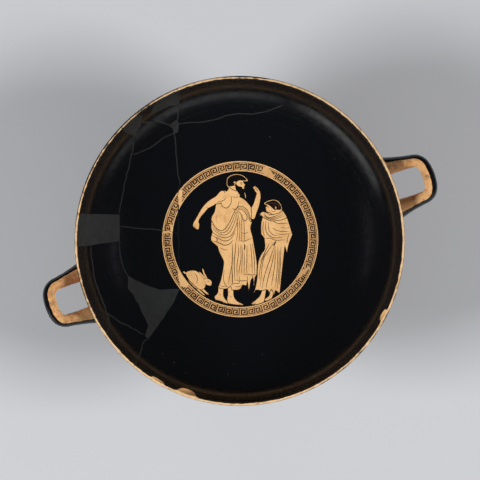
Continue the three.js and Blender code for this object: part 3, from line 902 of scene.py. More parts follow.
start_row = last_crossing(gap[: rows // 2])
end_row = rows - 1 - last_crossing(gap[::-1][: rows // 2])
share = np.linspace(0, 1, HANDLE_ROWS + 1)[:, None]
row = start_row + (end_row - start_row) * share
low_row = np.clip(np.floor(row).astype(int), 0, rows - 2)
column = np.broadcast_to(np.arange(HANDLE_SIDES), row.shape)
part = (row - low_row)[..., None]
right_handle = fine_skin[low_row, column] * (1 - part) + fine_skin[low_row + 1, column] * part
for ring in (0, -1):
    plan_radius = np.hypot(right_handle[ring, :, 0], right_handle[ring, :, 1])
    on_wall = wall_radius(right_handle[ring, :, 2], outer_radius, outer_depth) / plan_radius
    right_handle[ring, :, :2] *= on_wall[:, None]
left_handle = right_handle * (-1, -1, 1)
BARE_FROM, BARE_FROM_ON_END, BARE_TO = 66, 85, 284  # degrees round the oval that have no gloss
on_end = np.exp(-((share - 0.5) / 0.19) ** 4)
by_root = np.exp(-(np.minimum(share, 1 - share) / 0.16) ** 2)
reserved_from = np.radians(BARE_FROM + (BARE_FROM_ON_END - BARE_FROM) * on_end)
reserved_to = np.radians(BARE_TO)
handle_bare = np.minimum(section - reserved_from, reserved_to - section) * HANDLE_WIDTH / 2
# the handle's clay is darker towards the roots
handle_greyed = np.broadcast_to(by_root, row.shape)
print(f"handle grid {right_handle.shape[:2]}, top at {right_handle[..., 2].max():.1f} mm,",
      f"roots from {right_handle[0, :, 2].min():.1f} mm up")

# %% [markdown]
# Now the skin is put together: the inner sheet with the lip, the outer sheet with four
# holes for the handle roots, a plain grid for stem, foot and hollow, and the two handles.
# Points on shared borders are the same points, so nothing is open between the parts.
# Merging by distance could do that too, but it can also join points that only lie close.

# %% The inner sheet and the lip
FLOOR_STEP = 2.3  # mm between the loose points
STEEP_FROM = 112  # length walked at which the wall turns steep and gets finer points
RIM_POINTS = 288
LIP_COLUMNS = 576
CHIP_STEP = 0.42
ROUND_LIMIT = 62  # between the painted round and the rest, for the texture map
CHIPS = [  # as in the solid: angle, length along the lip, bite into the wall, depth below its top
    (231.7, 18.6, 2.7, 10),
    (220.5, 10.7, 1.3, 4.6),
    (313.8, 10.3, 1.8, 7.1),
]


def rings(radii, spacing):
    """Loose points on circles, each circle turned by a different share of a step."""
    return np.vstack([circle(r, max(6, round(2 * np.pi * r / spacing)), 0.618 * i % 1)
                      for i, r in enumerate(radii)])


grain = np.random.default_rng(11)
lip_rows = np.linspace(lip_in, lip_out, 12)
loose = [[(0, 0)],
         rings(np.arange(2, STEEP_FROM, 2.05), FLOOR_STEP),
         rings(np.arange(STEEP_FROM + 0.5, lip_in - 1, 1.6), 1.9),
         rings(np.arange(lip_out + 1.3, join_at - 1, 1.4), 2.0)]
loose += [circle(r, LIP_COLUMNS, i / 2 % 1) for i, r in enumerate(lip_rows)]
for angle, length, bite, drop in CHIPS:
    reach_along = length / 2 / rim_radius + 0.006
    along, turn = np.meshgrid(np.arange(lip_in - 1.15 * drop - 1, lip_in + 2.6, CHIP_STEP),
                              np.arange(-reach_along, reach_along, CHIP_STEP / rim_radius))
    along = along.ravel() + grain.uniform(-0.12, 0.12, along.size)
    turn = np.radians(angle) + turn.ravel() + grain.uniform(-0.001, 0.001, turn.size)
    loose.append(along[:, None] * np.stack([np.cos(turn), np.sin(turn)], 1))
inner_drawn = [(shape, True) for shape, _ in inner_layers] + [(middle, False) for middle in inner_middles]
inner_drawn += [(circle(ROUND_LIMIT, 180), True), (circle(lip_in, LIP_COLUMNS, 0.25), True)]
inner_flat, inner_faces, join_in = fill_sheet(
    [circle(join_at, RIM_POINTS)], np.vstack(loose), inner_drawn,
    lambda p: np.hypot(p[:, 0], p[:, 1]) < join_at - 0.4)
print(f"inner sheet {len(inner_flat)} points, {len(inner_faces)} faces")

# %% The outer sheet, with the holes for the roots
STEM_COLUMNS = 144
roots = []
for handle_points in (right_handle, left_handle):
    for ring in (0, -1):
        roots.append(flat_outside(handle_points[ring, :, :2]))


def off_the_roots(points, margin):
    """Whether points stay out of every root's outline, grown by a margin about its middle."""
    clear = np.ones(len(points), bool)
    for root in roots:
        middle = root.mean(0)
        grown = root + (root - middle) / np.linalg.norm(root - middle, axis=1, keepdims=True) * margin
        clear &= ~inside_of(points, grown)
    return clear


def on_outer_sheet(points):
    """Whether points lie between the stem's border and the join, and off the roots."""
    r = np.hypot(points[:, 0], points[:, 1])
    return (r > outside_rise + 0.4) & (r < join_radius - 0.4) & off_the_roots(points, 0.7)


outer_drawn = [(shape, True) for shape, _ in outer_layers] + [(middle, False) for middle in outer_middles]
outer_loose = np.vstack([rings(np.arange(outside_rise + 1.5, join_radius - 1, 2.3), 2.5)]
                        + [root.mean(0) + (root - root.mean(0)) * grow for root in roots
                           for grow in (1.16, 1.36)])
outer_flat, outer_faces, outer_borders = fill_sheet(
    [circle(join_radius, RIM_POINTS), circle(outside_rise, STEM_COLUMNS)] + roots, outer_loose, outer_drawn,
    on_outer_sheet)
middle_of_face = outer_flat[outer_faces].mean(1)
skin_part = np.hypot(middle_of_face[:, 0], middle_of_face[:, 1]) > outside_rise - 1e-6
skin_part &= ~inside_of(middle_of_face, circle(outside_rise, STEM_COLUMNS))
skin_part &= off_the_roots(middle_of_face, 0)
outer_faces = outer_faces[skin_part][:, ::-1]
join_out, spread_out, root_out = np.split(outer_borders, [RIM_POINTS, RIM_POINTS + STEM_COLUMNS])
root_out = root_out.reshape(4, HANDLE_SIDES)
print(f"outer sheet {len(outer_flat)} points, {len(outer_faces)} faces")

# %% The grid of stem, foot and hollow, closed at the top of the hollow
STEM_STEP = 1.4
stem_rows = np.linspace(spread_at, profile_end - 0.7, int((profile_end - spread_at) / STEM_STEP) + 1)
column_turn = 2 * np.pi * np.arange(STEM_COLUMNS) / STEM_COLUMNS
stem_along, stem_turn = np.meshgrid(stem_rows, column_turn, indexing="ij")
stem_flat = np.append(stem_along.ravel(), profile_end), np.append(stem_turn.ravel(), 0)


def grid_faces(rows, columns):
    """Triangles of a grid numbered row by row, whose last column joins the first."""
    number = np.arange(rows * columns).reshape(rows, columns)
    a, b = number[:-1], number[1:]
    c, d = np.roll(b, -1, 1), np.roll(a, -1, 1)
    return np.concatenate([np.stack([a, b, c], -1).reshape(-1, 3), np.stack([a, c, d], -1).reshape(-1, 3)])


stem_faces = grid_faces(len(stem_rows), STEM_COLUMNS)
rim_row = (len(stem_rows) - 1) * STEM_COLUMNS + np.arange(STEM_COLUMNS)
pole = np.full(STEM_COLUMNS, len(stem_rows) * STEM_COLUMNS)
stem_faces = np.vstack([stem_faces, np.stack([rim_row, pole, np.roll(rim_row, -1)], 1)])
handle_faces = grid_faces(HANDLE_ROWS + 1, HANDLE_SIDES)
handle_middle = np.repeat(right_handle.mean(1)[:-1], HANDLE_SIDES, 0)
a, b, c = (right_handle.reshape(-1, 3)[handle_faces[: len(handle_middle), i]] for i in range(3))
if (np.cross(b - a, c - a) * (a - handle_middle)).sum() < 0:
    handle_faces = handle_faces[:, ::-1]
print(f"stem and foot {len(stem_faces)} faces, each handle {len(handle_faces)}")

# %% Join the parts point by point
def polar(flat):
    """Distance from the middle and angle."""
    return np.hypot(flat[:, 0], flat[:, 1]), np.arctan2(flat[:, 1], flat[:, 0])


inner_along, inner_turn = polar(inner_flat)
outer_rise, outer_turn = polar(outer_flat)
along = np.concatenate([inner_along, outside_base - outer_rise, stem_flat[0]])
turn = np.concatenate([inner_turn, outer_turn, stem_flat[1]])
turned_count = len(along)
inner_start, outer_start, stem_start = 0, len(inner_flat), len(inner_flat) + len(outer_flat)
right_start = turned_count
left_start = right_start + right_handle.shape[0] * HANDLE_SIDES
points = np.vstack([on_profile(along, turn), right_handle.reshape(-1, 3), left_handle.reshape(-1, 3)])
same = np.arange(len(points))
same[outer_start + join_out] = inner_start + join_in
same[stem_start + np.arange(STEM_COLUMNS)] = outer_start + spread_out
last_ring = HANDLE_ROWS * HANDLE_SIDES
for i, at in enumerate([right_start, right_start + last_ring, left_start, left_start + last_ring]):
    same[outer_start + root_out[i]] = at + np.arange(HANDLE_SIDES)
face_parts = [inner_faces, outer_faces + outer_start, stem_faces + stem_start, handle_faces + right_start,
              handle_faces + left_start]
faces = same[np.vstack(face_parts)]
part_of_face = np.repeat(np.arange(5), [len(part) for part in face_parts])
print("faces of each part", [len(part) for part in face_parts])

# %% Flake the chips off the lip's inner face
def chipped(points, angle, length, bite, drop):
    """Moves the points inside an ellipsoid outwards to its far side. The ellipsoid stands level
    with the lip's top and runs out on the wall's inner face below it."""
    local = turned_by(points[:, :2], -np.radians(angle))
    size = np.array([bite, length / 2, drop])
    middle = np.array([wall_radius(cup_height - drop, inner_radius, inner_depth), 0, cup_height])
    q = (np.column_stack([local, points[:, 2]]) - middle) / size
    on_inner_sheet = np.arange(len(points)) < len(inner_flat)
    hit = ((q**2).sum(1) < 1) & (local[:, 0] > 0) & on_inner_sheet & (whole_along < lip_out)
    q = q[hit]
    far = np.sqrt(1 - q[:, 1] ** 2 - q[:, 2] ** 2) - q[:, 0]
    rough = 1 + grain.normal(0, 0.05, len(q)) + 0.1 * np.sin(7 * q[:, 1] + 3) * np.cos(4 * q[:, 2])
    q[:, 0] += far * np.minimum(rough, 1.08)
    moved = q * size + middle
    result = points.copy()
    result[hit] = np.column_stack([turned_by(moved[:, :2], np.radians(angle)), moved[:, 2]])
    return result, hit


whole_along = np.concatenate([along, np.zeros(len(points) - turned_count)])
free = np.zeros(len(points), bool)  # points that no longer lie on the turned surface
in_chip = np.zeros(len(points), bool)
for chip in CHIPS:
    points, hit = chipped(points, *chip)
    in_chip |= hit
free |= in_chip


def paint_faces(centres, painted):
    """The number of the last painted outline that holds each centre."""
    result = np.full(len(centres), BLACK)
    for shape, paint in painted:
        near = np.flatnonzero(((centres >= shape.min(0)) & (centres <= shape.max(0))).all(1))
        if len(near):
            result[near[inside_of(centres[near], shape)]] = paint
    return result


paint = np.full(len(faces), BLACK)
paint[part_of_face == 0] = paint_faces(inner_flat[inner_faces].mean(1), inner_layers)
paint[part_of_face == 1] = paint_faces(outer_flat[outer_faces].mean(1), outer_layers)
paint[in_chip[faces].sum(1) >= 2] = CHIP
print("chipped points", int(in_chip.sum()), "- faces by paint", np.bincount(paint))

# %% Sink the middles of the joints, and work out the normals
def near_line(flat, middle):
    """Points that lie on a drawn line."""
    near = np.zeros(len(flat), bool)
    box = (flat > middle.min(0) - 0.1) & (flat < middle.max(0) + 0.1)
    some = np.flatnonzero(box.all(1))
    if len(some):
        a, b = middle[:-1], middle[1:]
        step = b - a
        t = ((flat[some, None] - a) * step).sum(2) / np.maximum((step**2).sum(1), 1e-12)
        foot = a + np.clip(t, 0, 1)[..., None] * step
        near[some] = np.linalg.norm(flat[some, None] - foot, axis=2).min(1) < 0.03
    return near


normals = np.zeros_like(points)
normals[:turned_count] = normal_on_profile(along, turn)
sunk = np.zeros(len(points), bool)
for start, flat, middles in [(inner_start, inner_flat, inner_middles),
                             (outer_start, outer_flat, outer_middles)]:
    for middle in middles:
        sunk[start : start + len(flat)] |= near_line(flat, middle)
points[sunk] -= normals[sunk] * JOINT_DEPTH
free |= sunk
free[turned_count:] = True
free[same[outer_start + root_out.ravel()]] = True
free[np.unique(faces[(paint == SEAM) | (paint == CHIP)])] = True


def smooth_normals(points, faces):
    """The sum of the normals of the faces round each point, weighted by their areas."""
    a, b, c = (points[faces[:, i]] for i in range(3))
    face_normal = np.cross(b - a, c - a)
    total = np.zeros_like(points)
    for i in range(3):
        np.add.at(total, faces[:, i], face_normal)
    return total / np.maximum(np.linalg.norm(total, axis=1, keepdims=True), 1e-12)


worked_out = smooth_normals(points, faces)
normals[free] = worked_out[free]
used = np.unique(faces)
agree = (normals[used] * worked_out[used]).sum(1)
print(f"{len(used)} points, {len(faces)} faces, normals agree to {agree.min():.2f} at worst")

# %% [markdown]
# The painter left some clay without gloss: the top of the lip, the inner side of the
# handles, the patch of wall between their roots, the foot's edge and the ring that it
# stands on. The gloss was brushed on by hand, so the edge of these places wavers. They
# could be cut into the mesh like the picture. Instead each point carries its distance to
# the nearest edge of such a place, and the material adds a little noise to it.

# %% Distance into the bare clay, in millimetres
RESERVE_START, RESERVE_END = 0.42, 0.82  # shares of the way over the lip's rounding without gloss
bearing = np.arctan2(points[:, 1], points[:, 0]) - PICTURE_TURN
lip_length = lip_out - lip_in


def by_bearing(degrees, width):
    """One at a bearing of the picture, and less to both sides of it as a bell curve."""
    return np.exp(-((np.cos(bearing - np.radians(degrees)) - 1) / width) ** 2)


upper_left, lower_right = by_bearing(140, 0.16), by_bearing(318, 0.1)
top, by_left_roots = by_bearing(88, 0.012), by_bearing(198, 0.012)
reserve_end = RESERVE_END - 0.2 * np.maximum(upper_left, top)
reserve_end = reserve_end - 0.16 * lower_right * np.sin(bearing * 23) ** 2
reserve_end = lip_in + lip_length * (reserve_end - 0.14 * by_left_roots)
chip_at, chip_length = np.array(CHIPS)[:, 0], np.array(CHIPS)[:, 1]
off_chips = (bearing + PICTURE_TURN)[:, None] - np.radians(chip_at)
off_chips = ((off_chips + np.pi) % (2 * np.pi) - np.pi) * rim_radius / (chip_length / 2)
by_chips = np.exp(-((off_chips / 0.9) ** 4)).max(1)  # the gloss has flaked off between chip and lip
reserve_start = lip_in + lip_length * RESERVE_START * (1 - by_chips)
bare = np.full(len(points), -9.0)
on_sheets = np.arange(len(points)) < stem_start
lip_zone = np.minimum(whole_along - reserve_start, reserve_end - whole_along)
bare = np.where(on_sheets, np.maximum(bare, lip_zone), bare)
PANEL_TOP, PANEL_BOTTOM = 3.5, 27  # of the patch between the roots, below the lip along the wall
panel_side = root_half - HANDLE_WIDTH / 2 - HANDLE_FLARE - 0.4
panel = np.minimum(panel_side - np.abs(points[:, 1]), whole_along - lip_out - PANEL_TOP)
panel = np.minimum(panel, lip_out + PANEL_BOTTOM - whole_along)
bare = np.where(on_sheets & (whole_along > lip_out), np.maximum(bare, panel), bare)
FOOT_BARE_BELOW = 7.2
HOLLOW_BARE_RADIUS, HOLLOW_BARE_LENGTH = 13, 34
z, r = points[:, 2], np.hypot(points[:, 0], points[:, 1])
foot_edge = np.minimum(FOOT_BARE_BELOW - z, r - (ring_inner - 1.5))
deep_hollow = np.minimum(HOLLOW_BARE_RADIUS - r, whole_along - (profile_end - HOLLOW_BARE_LENGTH))
on_foot = (np.arange(len(points)) >= stem_start) & (np.arange(len(points)) < turned_count)
bare = np.where(on_foot & (z < 9) & (r > 30), foot_edge, bare)
bare = np.where(on_foot & (whole_along > profile_end - HOLLOW_BARE_LENGTH - 2), deep_hollow, bare)
bare[right_start:left_start] = handle_bare.ravel()
bare[left_start:] = handle_bare.ravel()
lip_dirt = 0.8 * by_left_roots + 0.35 * lower_right
greyed = np.where(on_sheets & (whole_along < lip_out + 1), lip_dirt, 0.55)  # dirt in the bare clay
# on the handles: darker towards the roots
greyed[right_start:left_start] = handle_greyed.ravel()
reddened = np.broadcast_to(np.exp(-((1 - share) / 0.2) ** 2), row.shape)  # below nought means red
greyed[left_start:] = (0.25 * handle_greyed * (share < 0.5) - reddened).ravel()
from_lip = np.where(on_sheets, lip_in - whole_along, 99)
walk = np.where(np.arange(len(points)) < turned_count, whole_along, 400 + bearing)
print(f"bare clay at {100 * np.mean(bare[used] > 0):.0f}% of the points")

# %% [markdown]
# Each face also gets a place on one texture map, so that the finished surface can be
# stored in an image. The painted round takes the largest share of the map because its
# lines are the finest. The other parts are turned, so each opens out into a strip.

# %% Lay the faces out on the map
MAP = 1024  # pixels
ROUND_PLACE = (8, 8, 563, 563)  # left, top, width and height
BOWL_PLACE = (18, 585, 988, 150)
OUTSIDE_PLACE = (18, 746, 988, 158)
FOOT_PLACE = (588, 8, 420, 560)
RIGHT_HANDLE_PLACE = (14, 914, 488, 100)
LEFT_HANDLE_PLACE = (522, 914, 488, 100)


def strip(across, down, across_range, down_range, left, top, wide, high):
    """A rectangle of the map, in its pixels, that two ranges are spread over evenly."""
    u = left + (across - across_range[0]) / (across_range[1] - across_range[0]) * wide
    v = top + (down - down_range[0]) / (down_range[1] - down_range[0]) * high
    return np.stack([u / MAP, 1 - v / MAP], -1)


all_turn = np.concatenate([turn, np.zeros(len(points) - turned_count)])
source_faces = np.vstack(face_parts)
middle_place = points[source_faces].mean(1)
middle_turn = np.arctan2(middle_place[:, 1], middle_place[:, 0])
gap_turn = all_turn[source_faces] - middle_turn[:, None]
corner_turn = middle_turn[:, None] + (gap_turn + np.pi) % (2 * np.pi) - np.pi
corner_along = whole_along[source_faces]
pole_corner = source_faces == stem_start + len(stem_flat[0]) - 1
corner_turn = np.where(pole_corner, middle_turn[:, None], corner_turn)
around = (-np.pi, np.pi)
placed = np.zeros(faces.shape + (2,))
corner_flat = corner_along[..., None] * np.stack([np.cos(corner_turn), np.sin(corner_turn)], -1)
tondo = (part_of_face == 0) & (corner_along.mean(1) < ROUND_LIMIT)
bowl_wall = (part_of_face == 0) & ~tondo
square = (-ROUND_LIMIT - 0.5, ROUND_LIMIT + 0.5)
placed[tondo] = strip(corner_flat[tondo][..., 0], -corner_flat[tondo][..., 1], square, square,
                      *ROUND_PLACE)
for some, along_range, map_place in (
        (bowl_wall, (ROUND_LIMIT, join_at), BOWL_PLACE),
        (part_of_face == 1, (join_at, spread_at), OUTSIDE_PLACE),
        (part_of_face == 2, (spread_at, profile_end), FOOT_PLACE)):
    placed[some] = strip(corner_turn[some], corner_along[some], around, along_range, *map_place)
for number, start, map_place in ((3, right_start, RIGHT_HANDLE_PLACE), (4, left_start, LEFT_HANDLE_PLACE)):
    corners = source_faces[part_of_face == number] - start
    at_row, at_side = corners // HANDLE_SIDES, corners % HANDLE_SIDES
    wraps = at_side.max(1, keepdims=True) - at_side.min(1, keepdims=True) > HANDLE_SIDES / 2
    at_side = np.where(wraps & (at_side == 0), HANDLE_SIDES, at_side)
    placed[part_of_face == number] = strip(at_row, at_side, (0, HANDLE_ROWS), (0, HANDLE_SIDES),
                                           *map_place)
print(f"map used from {placed.min():.3f} to {placed.max():.3f}")

# %% Make the cup's mesh
number = np.full(len(points), -1)
number[used] = np.arange(len(used))
mesh = bpy.data.meshes.new("cup_skin")
mesh.from_pydata((points[used] * MM).tolist(), [], number[faces].tolist())
mesh.update()
mesh.polygons.foreach_set("use_smooth", np.ones(len(faces), bool))
mesh.attributes.new("paint", "FLOAT", "FACE").data.foreach_set("value", (paint + 0.5) / PAINT_COUNT)
for name, values in (("bare", bare), ("greyed", greyed), ("from_lip", from_lip), ("walk", walk)):
    mesh.attributes.new(name, "FLOAT", "POINT").data.foreach_set("value", values[used])
uv_map = mesh.uv_layers.new(name="OFBake")
uv_map.data.foreach_set("uv", placed.reshape(-1))
mesh.normals_split_custom_set_from_vertices(normals[used].tolist())
edges = np.sort(np.vstack([faces[:, [0, 1]], faces[:, [1, 2]], faces[:, [2, 0]]]), 1)
edge_counts = np.unique(edges, axis=0, return_counts=True)[1]
cup = bpy.data.objects.new("kylix_cup", mesh)
bpy.context.scene.collection.objects.link(cup)
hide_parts("kylix")
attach(cup, "root")
print(f"{len(mesh.polygons)} faces, open or doubled edges: {int((edge_counts != 2).sum())}")

# %% [markdown]
# The gloss is a fine clay slip that fired black and slightly shiny. It isn't even: it was
# brushed on while the cup turned, so it has faint bands round the axis, and is rubbed and
# pitted. Close to the lip a brownish painted reflection is laid over it. The bare clay is
# matt and orange, has greyed with handling, and is darker towards the handle roots. One
# material holds all of this, because the surface is one: the face's paint chooses a colour,
# and the distance into the bare clay is laid over it.

# %% Helpers for the material
def node(tree, kind, **values):
    """A new node of a kind, with some of its settings."""
    made = tree.nodes.new(kind)
    for name, value in values.items():
        setattr(made, name, value)
    return made


def wired(kind, inputs, **values):
    """A new node whose sockets get a link, a number or a colour each. It goes into the tree
    that the first link comes from."""
    tree = next(value for value in inputs.values() if hasattr(value, "id_data")).id_data
    made = node(tree, kind, **values)
    for socket, value in inputs.items():
        if hasattr(value, "id_data"):
            tree.links.new(value, made.inputs[socket])
        else:
            made.inputs[socket].default_value = (*value, 1) if isinstance(value, tuple) else value
    return made

# %% Noise, arithmetic and colours
def noise(where, scale, detail=3.0, rough=0.55):
    """Noise of a given scale at a place."""
    sockets = {"Vector": where, "Scale": scale, "Detail": detail, "Roughness": rough}
    return wired("ShaderNodeTexNoise", sockets).outputs["Fac"]


def spread(value, low, high, to_low=0.0, to_high=1.0):
    """Carries one range smoothly to another."""
    sockets = {"Value": value, "From Min": low, "From Max": high, "To Min": to_low, "To Max": to_high}
    return wired("ShaderNodeMapRange", sockets, interpolation_type="SMOOTHSTEP").outputs["Result"]


def worked(operation, a, b):
    """Arithmetic of two values."""
    return wired("ShaderNodeMath", {0: a, 1: b}, operation=operation).outputs[0]


def times(*values):
    """The product of values."""
    product = values[0]
    for value in values[1:]:
        product = worked("MULTIPLY", product, value)
    return product


def blend(amount, a, b, kind="MIX"):
    """One colour laid over another by an amount."""
    return wired("ShaderNodeMix", {0: amount, 6: a, 7: b}, data_type="RGBA", blend_type=kind).outputs[2]


def light_of(*screen):
    """The linear colour of an ordinary screen colour."""
    return tuple((c / 255 / 12.92) if c < 11 else (((c / 255 + 0.055) / 1.055) ** 2.4) for c in screen)


def steps(value, colours):
    """A ramp of even steps with hard edges."""
    made = wired("ShaderNodeValToRGB", {"Fac": value})
    made.color_ramp.interpolation = "CONSTANT"
    for i, colour in enumerate(colours):
        at = i / len(colours)
        stop = made.color_ramp.elements[i] if i < 2 else made.color_ramp.elements.new(at)
        stop.position = at
        stop.color = (*colour, 1)
    return made.outputs["Color"]

# %% The colours of the cup
# brownish colour of a painted reflection in the gloss near the lip
REFLECTED_BROWN = light_of(31, 28, 28)
BARE_CLAY = light_of(228, 174, 116)
GREYED_CLAY = light_of(118, 92, 76)
RED_CLAY = light_of(204, 128, 82)
WARM_CLAY = light_of(204, 134, 80)
PALE_CLAY = light_of(244, 208, 158)
DARK_CLAY = light_of(122, 80, 52)
paints = {  # screen colour and roughness, in the order of their numbers
    BLACK: ((12, 13, 16), 0.2), CLAY: ((248, 198, 136), 0.5), LINE: ((46, 31, 22), 0.34),
    WASH: ((196, 142, 88), 0.46), BAND: ((222, 172, 116), 0.5), PALE: ((250, 211, 150), 0.55),
    HAIR: ((20, 18, 17), 0.3), RED: ((112, 54, 42), 0.5), FILL: ((49, 51, 51), 0.62),
    SEAM: ((44, 46, 47), 0.6), CHIP: ((255, 202, 138), 0.8), FAINT_SEAM: ((28, 29, 31), 0.4),
}
finish = bpy.data.materials.new("kylix_finish")
finish.use_nodes = True
tree = finish.node_tree
tree.nodes.clear()
place = node(tree, "ShaderNodeTexCoord").outputs["Object"]
read = {name: node(tree, "ShaderNodeAttribute", attribute_name=name).outputs["Fac"]
        for name in ("paint", "bare", "greyed", "from_lip", "walk")}
coarse = noise(place, 38, 4)
middling = noise(place, 170, 4)
patchy = noise(place, 300, 3)
fine = noise(place, 900, 5, 0.6)
grit = noise(place, 2600, 2)
round_axis = {"W": read["walk"], "Scale": 0.42, "Detail": 4}
bands = wired("ShaderNodeTexNoise", round_axis, noise_dimensions="1D").outputs["Fac"]
print(f"{len(paints)} paints, {len(read)} attributes read")

# %% The gloss and the paints
painted = steps(read["paint"], [light_of(*screen) for screen, _ in paints.values()])
is_gloss = spread(read["paint"], 0.09, 0.095, 1, 0)  # between the numbers of the first two paints
# A brownish painted reflection in the gloss, fading out from close to the lip
painted_reflection = times(spread(read["from_lip"], 14, 9), spread(bands, 0.35, 0.6, 0.55, 1))
painted_reflection = times(painted_reflection, spread(coarse, 0.3, 0.6, 0.6, 1), is_gloss)
colour = blend(painted_reflection, painted, REFLECTED_BROWN)
colour = blend(times(spread(bands, 0.35, 0.75, 0, 0.12), is_gloss), colour, light_of(17, 18, 20))
specks_of_clay = times(spread(noise(place, 420, 2), 0.78, 0.81), is_gloss, 0.5)
colour = blend(specks_of_clay, colour, light_of(60, 48, 40))
not_gloss = worked("SUBTRACT", 1.0, is_gloss)
stains = times(spread(middling, 0.42, 0.72, 0, 0.34), not_gloss)
colour = blend(stains, colour, (0.62, 0.47, 0.34), "MULTIPLY")
speckle = times(spread(fine, 0.35, 0.7, 0.26, 0), not_gloss)
colour = blend(speckle, colour, (0.6, 0.5, 0.42), "MULTIPLY")
print(f"{len(tree.nodes)} nodes so far")

# %% The bare clay over them
on_lip = times(spread(read["from_lip"], -6, -5), spread(read["from_lip"], 1.5, 0.5))
clay = blend(times(on_lip, 0.75), BARE_CLAY, PALE_CLAY)
# Greyer clay: greyed with handling elsewhere, and darker towards the handle roots
greying = times(read["greyed"], spread(coarse, 0.3, 0.6, 0.45, 1))
greying = times(greying, blend(on_lip, (1, 1, 1), spread(patchy, 0.44, 0.56)))
clay = blend(greying, clay, GREYED_CLAY)
reddest = times(spread(read["greyed"], -0.1, -0.8), spread(patchy, 0.3, 0.6, 0.5, 1))
clay = blend(reddest, clay, RED_CLAY)
warm = times(spread(patchy, 0.45, 0.6, 0, 0.7), spread(on_lip, 0, 1, 1, 0.3))
clay = blend(warm, clay, WARM_CLAY)
clay = blend(spread(middling, 0.5, 0.68, 0, 0.5), clay, DARK_CLAY)
# Pale flecks in the bare clay: partly a random tone, partly painted highlights
clay = blend(spread(fine, 0.5, 0.64, 0, 0.45), clay, PALE_CLAY)
wavering = times(worked("SUBTRACT", noise(place, 260, 3), 0.5), 1.3)
is_bare = spread(worked("ADD", read["bare"], wavering), -0.05, 0.22)
colour = blend(is_bare, colour, clay)
print(f"{len(tree.nodes)} nodes so far")

# %% The shine, the fine relief and the shader
shine = steps(read["paint"], [(rough, rough, rough) for _, rough in paints.values()])
shine = worked("ADD", shine, spread(middling, 0.3, 0.8, -0.03, 0.1))
shine = worked("ADD", shine, spread(bands, 0.3, 0.8, -0.02, 0.06))
shine = blend(is_bare, shine, (0.68, 0.68, 0.68))
relief = worked("ADD", times(bands, 0.25), times(coarse, 0.5))
relief = worked("ADD", relief, times(fine, 0.08))
matt = worked("MAXIMUM", is_bare, not_gloss)
relief = worked("ADD", relief, times(grit, 0.22, matt))
bump = wired("ShaderNodeBump", {"Height": relief, "Strength": 0.5, "Distance": 0.00022})
sockets = {"Base Color": colour, "Roughness": shine, "Normal": bump.outputs["Normal"], "IOR": 1.5}
surface = wired("ShaderNodeBsdfPrincipled", sockets)
wired("ShaderNodeOutputMaterial", {"Surface": surface.outputs["BSDF"]})
mesh.materials.append(finish)
print(f"finish of {len(tree.nodes)} nodes")

# %% [markdown]
# The cup stands on a pale sheet under soft light. The picture of it was taken from straight
# above, so the camera hangs over the bowl and is turned so that the painted figures stand
# upright. It could hang at any height. A metre and a half with a long lens gives the small
# perspective of such pictures: the bowl's floor looks only a little smaller than the lip.

# %% The sheet it stands on
SHEET_HALF = 1.6  # metres
corners = [(-SHEET_HALF, -SHEET_HALF, 0), (SHEET_HALF, -SHEET_HALF, 0),
           (SHEET_HALF, SHEET_HALF, 0), (-SHEET_HALF, SHEET_HALF, 0)]
sheet = bpy.data.meshes.new("pale_sheet")
sheet.from_pydata(corners, [], [(0, 1, 2, 3)])
floor = bpy.data.objects.new("pale_sheet", sheet)
bpy.context.scene.collection.objects.link(floor)
paper = bpy.data.materials.new("pale_paper")
paper.use_nodes = True
paper_tree = paper.node_tree
paper_surface = paper_tree.nodes["Principled BSDF"]
paper_surface.inputs["Roughness"].default_value = 0.9
paper_surface.inputs["Specular IOR Level"].default_value = 0.2
paper_place = node(paper_tree, "ShaderNodeTexCoord").outputs["Object"]
cloudy = spread(noise(paper_place, 3, 3), 0.3, 0.7)
paper_colour = blend(cloudy, (0.605, 0.61, 0.63), (0.625, 0.63, 0.65))
paper_tree.links.new(paper_colour, paper_surface.inputs["Base Color"])
sheet.materials.append(paper)
print(f"sheet {2 * SHEET_HALF:.1f} m wide")

# %% The camera above the bowl
CAMERA_ABOVE_LIP = 1500
LIP_IN_PIXELS = 165.5  # the lip's radius in the picture, of 480 pixels across
PICTURE_WIDTH = 480
SENSOR = 36
right = np.array([np.cos(PICTURE_TURN), np.sin(PICTURE_TURN)])
up = np.array([-right[1], right[0]])
camera_data = bpy.data.cameras.new("above_the_bowl")
camera_data.sensor_width = SENSOR
camera_data.lens = SENSOR * CAMERA_ABOVE_LIP / (PICTURE_WIDTH * rim_radius / LIP_IN_PIXELS)
camera_data.clip_start = 0.05
camera_data.clip_end = 10
camera = bpy.data.objects.new("above_the_bowl", camera_data)
bpy.context.scene.collection.objects.link(camera)
stands_at = np.append(16 * right + 64 * up, cup_height + CAMERA_ABOVE_LIP)
looks_at = np.append(0.28 * right + 1.09 * up, cup_height)
view = (looks_at - stands_at) / np.linalg.norm(looks_at - stands_at)
side = np.cross(view, np.append(up, 0))
side /= np.linalg.norm(side)
upwards = np.cross(side, view)
turned = Matrix(np.column_stack([side, upwards, -view]).tolist())
camera.matrix_world = Matrix.Translation(Vector(stands_at * MM)) @ turned.to_4x4()
bpy.context.scene.camera = camera
print(f"lens {camera_data.lens:.1f} mm")

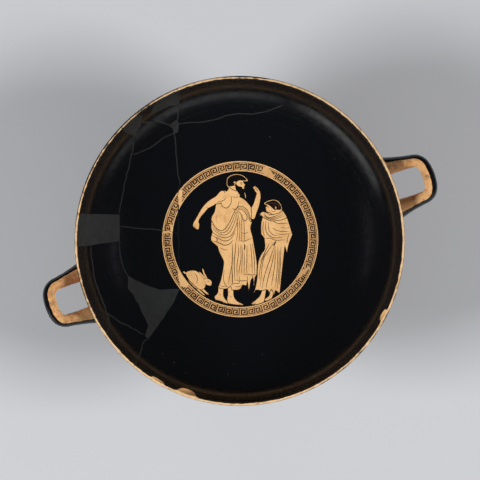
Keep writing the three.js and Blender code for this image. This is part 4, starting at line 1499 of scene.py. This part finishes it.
# %% The soft lights
def soft_light(name, place, aim, size, watts, colour, glossy):
    """A square light that looks at a point. Those that give the light for the pale sheet are
    hidden from reflections, and dim ones are only seen in the gloss."""
    data = bpy.data.lights.new(name, "AREA")
    data.shape = "RECTANGLE"
    data.size, data.size_y = size
    data.energy = watts
    data.color = colour
    lamp = bpy.data.objects.new(name, data)
    bpy.context.scene.collection.objects.link(lamp)
    to_world = np.column_stack([np.append(right, 0), np.append(up, 0), (0, 0, 1)])
    stands, aims = Vector(to_world @ place), Vector(to_world @ aim)
    lamp.location = stands
    lamp.rotation_euler = (aims - stands).to_track_quat("-Z", "Y").to_euler()
    lamp.visible_glossy = glossy
    lamp.visible_diffuse = not glossy
    lamp.visible_camera = False


middle = (0, 0, 0.07)
soft_light("left_window", (-1.9, -0.46, 1.3), middle, (0.9, 0.7), 49, (0.98, 0.99, 1), False)
soft_light("right_window", (2.2, -0.26, 1.5), middle, (1, 0.8), 60, (1, 1, 1), False)
soft_light("ceiling", (0, 0, 2.6), middle, (2.6, 2.6), 2.6, (0.96, 0.98, 1), False)
soft_light("low_left_in_gloss", (-0.85, -0.85, 0.31), middle, (0.9, 0.3), 1.4, (1, 1, 1), True)
soft_light("low_front_in_gloss", (0.15, -1.2, 0.36), middle, (1.0, 0.3), 0.7, (1, 1, 1), True)
soft_light("low_right_in_gloss", (0.82, -0.88, 0.31), middle, (0.7, 0.3), 0.34, (1, 1, 1), True)
soft_light("left_in_gloss", (-1.0, -0.05, 0.98), middle, (0.55, 0.12), 0.09, (0.85, 0.8, 1), True)
soft_light("right_in_gloss", (1.0, 0.05, 1.1), middle, (0.5, 0.12), 0.09, (0.85, 0.8, 1), True)
print(f"{len(bpy.data.lights)} lights")
room = bpy.data.worlds.new("room")
room.use_nodes = True
room.node_tree.nodes["Background"].inputs["Color"].default_value = (0.9, 0.93, 1, 1)
room.node_tree.nodes["Background"].inputs["Strength"].default_value = 0.03
bpy.context.scene.world = room
bpy.context.scene.view_settings.view_transform = "Standard"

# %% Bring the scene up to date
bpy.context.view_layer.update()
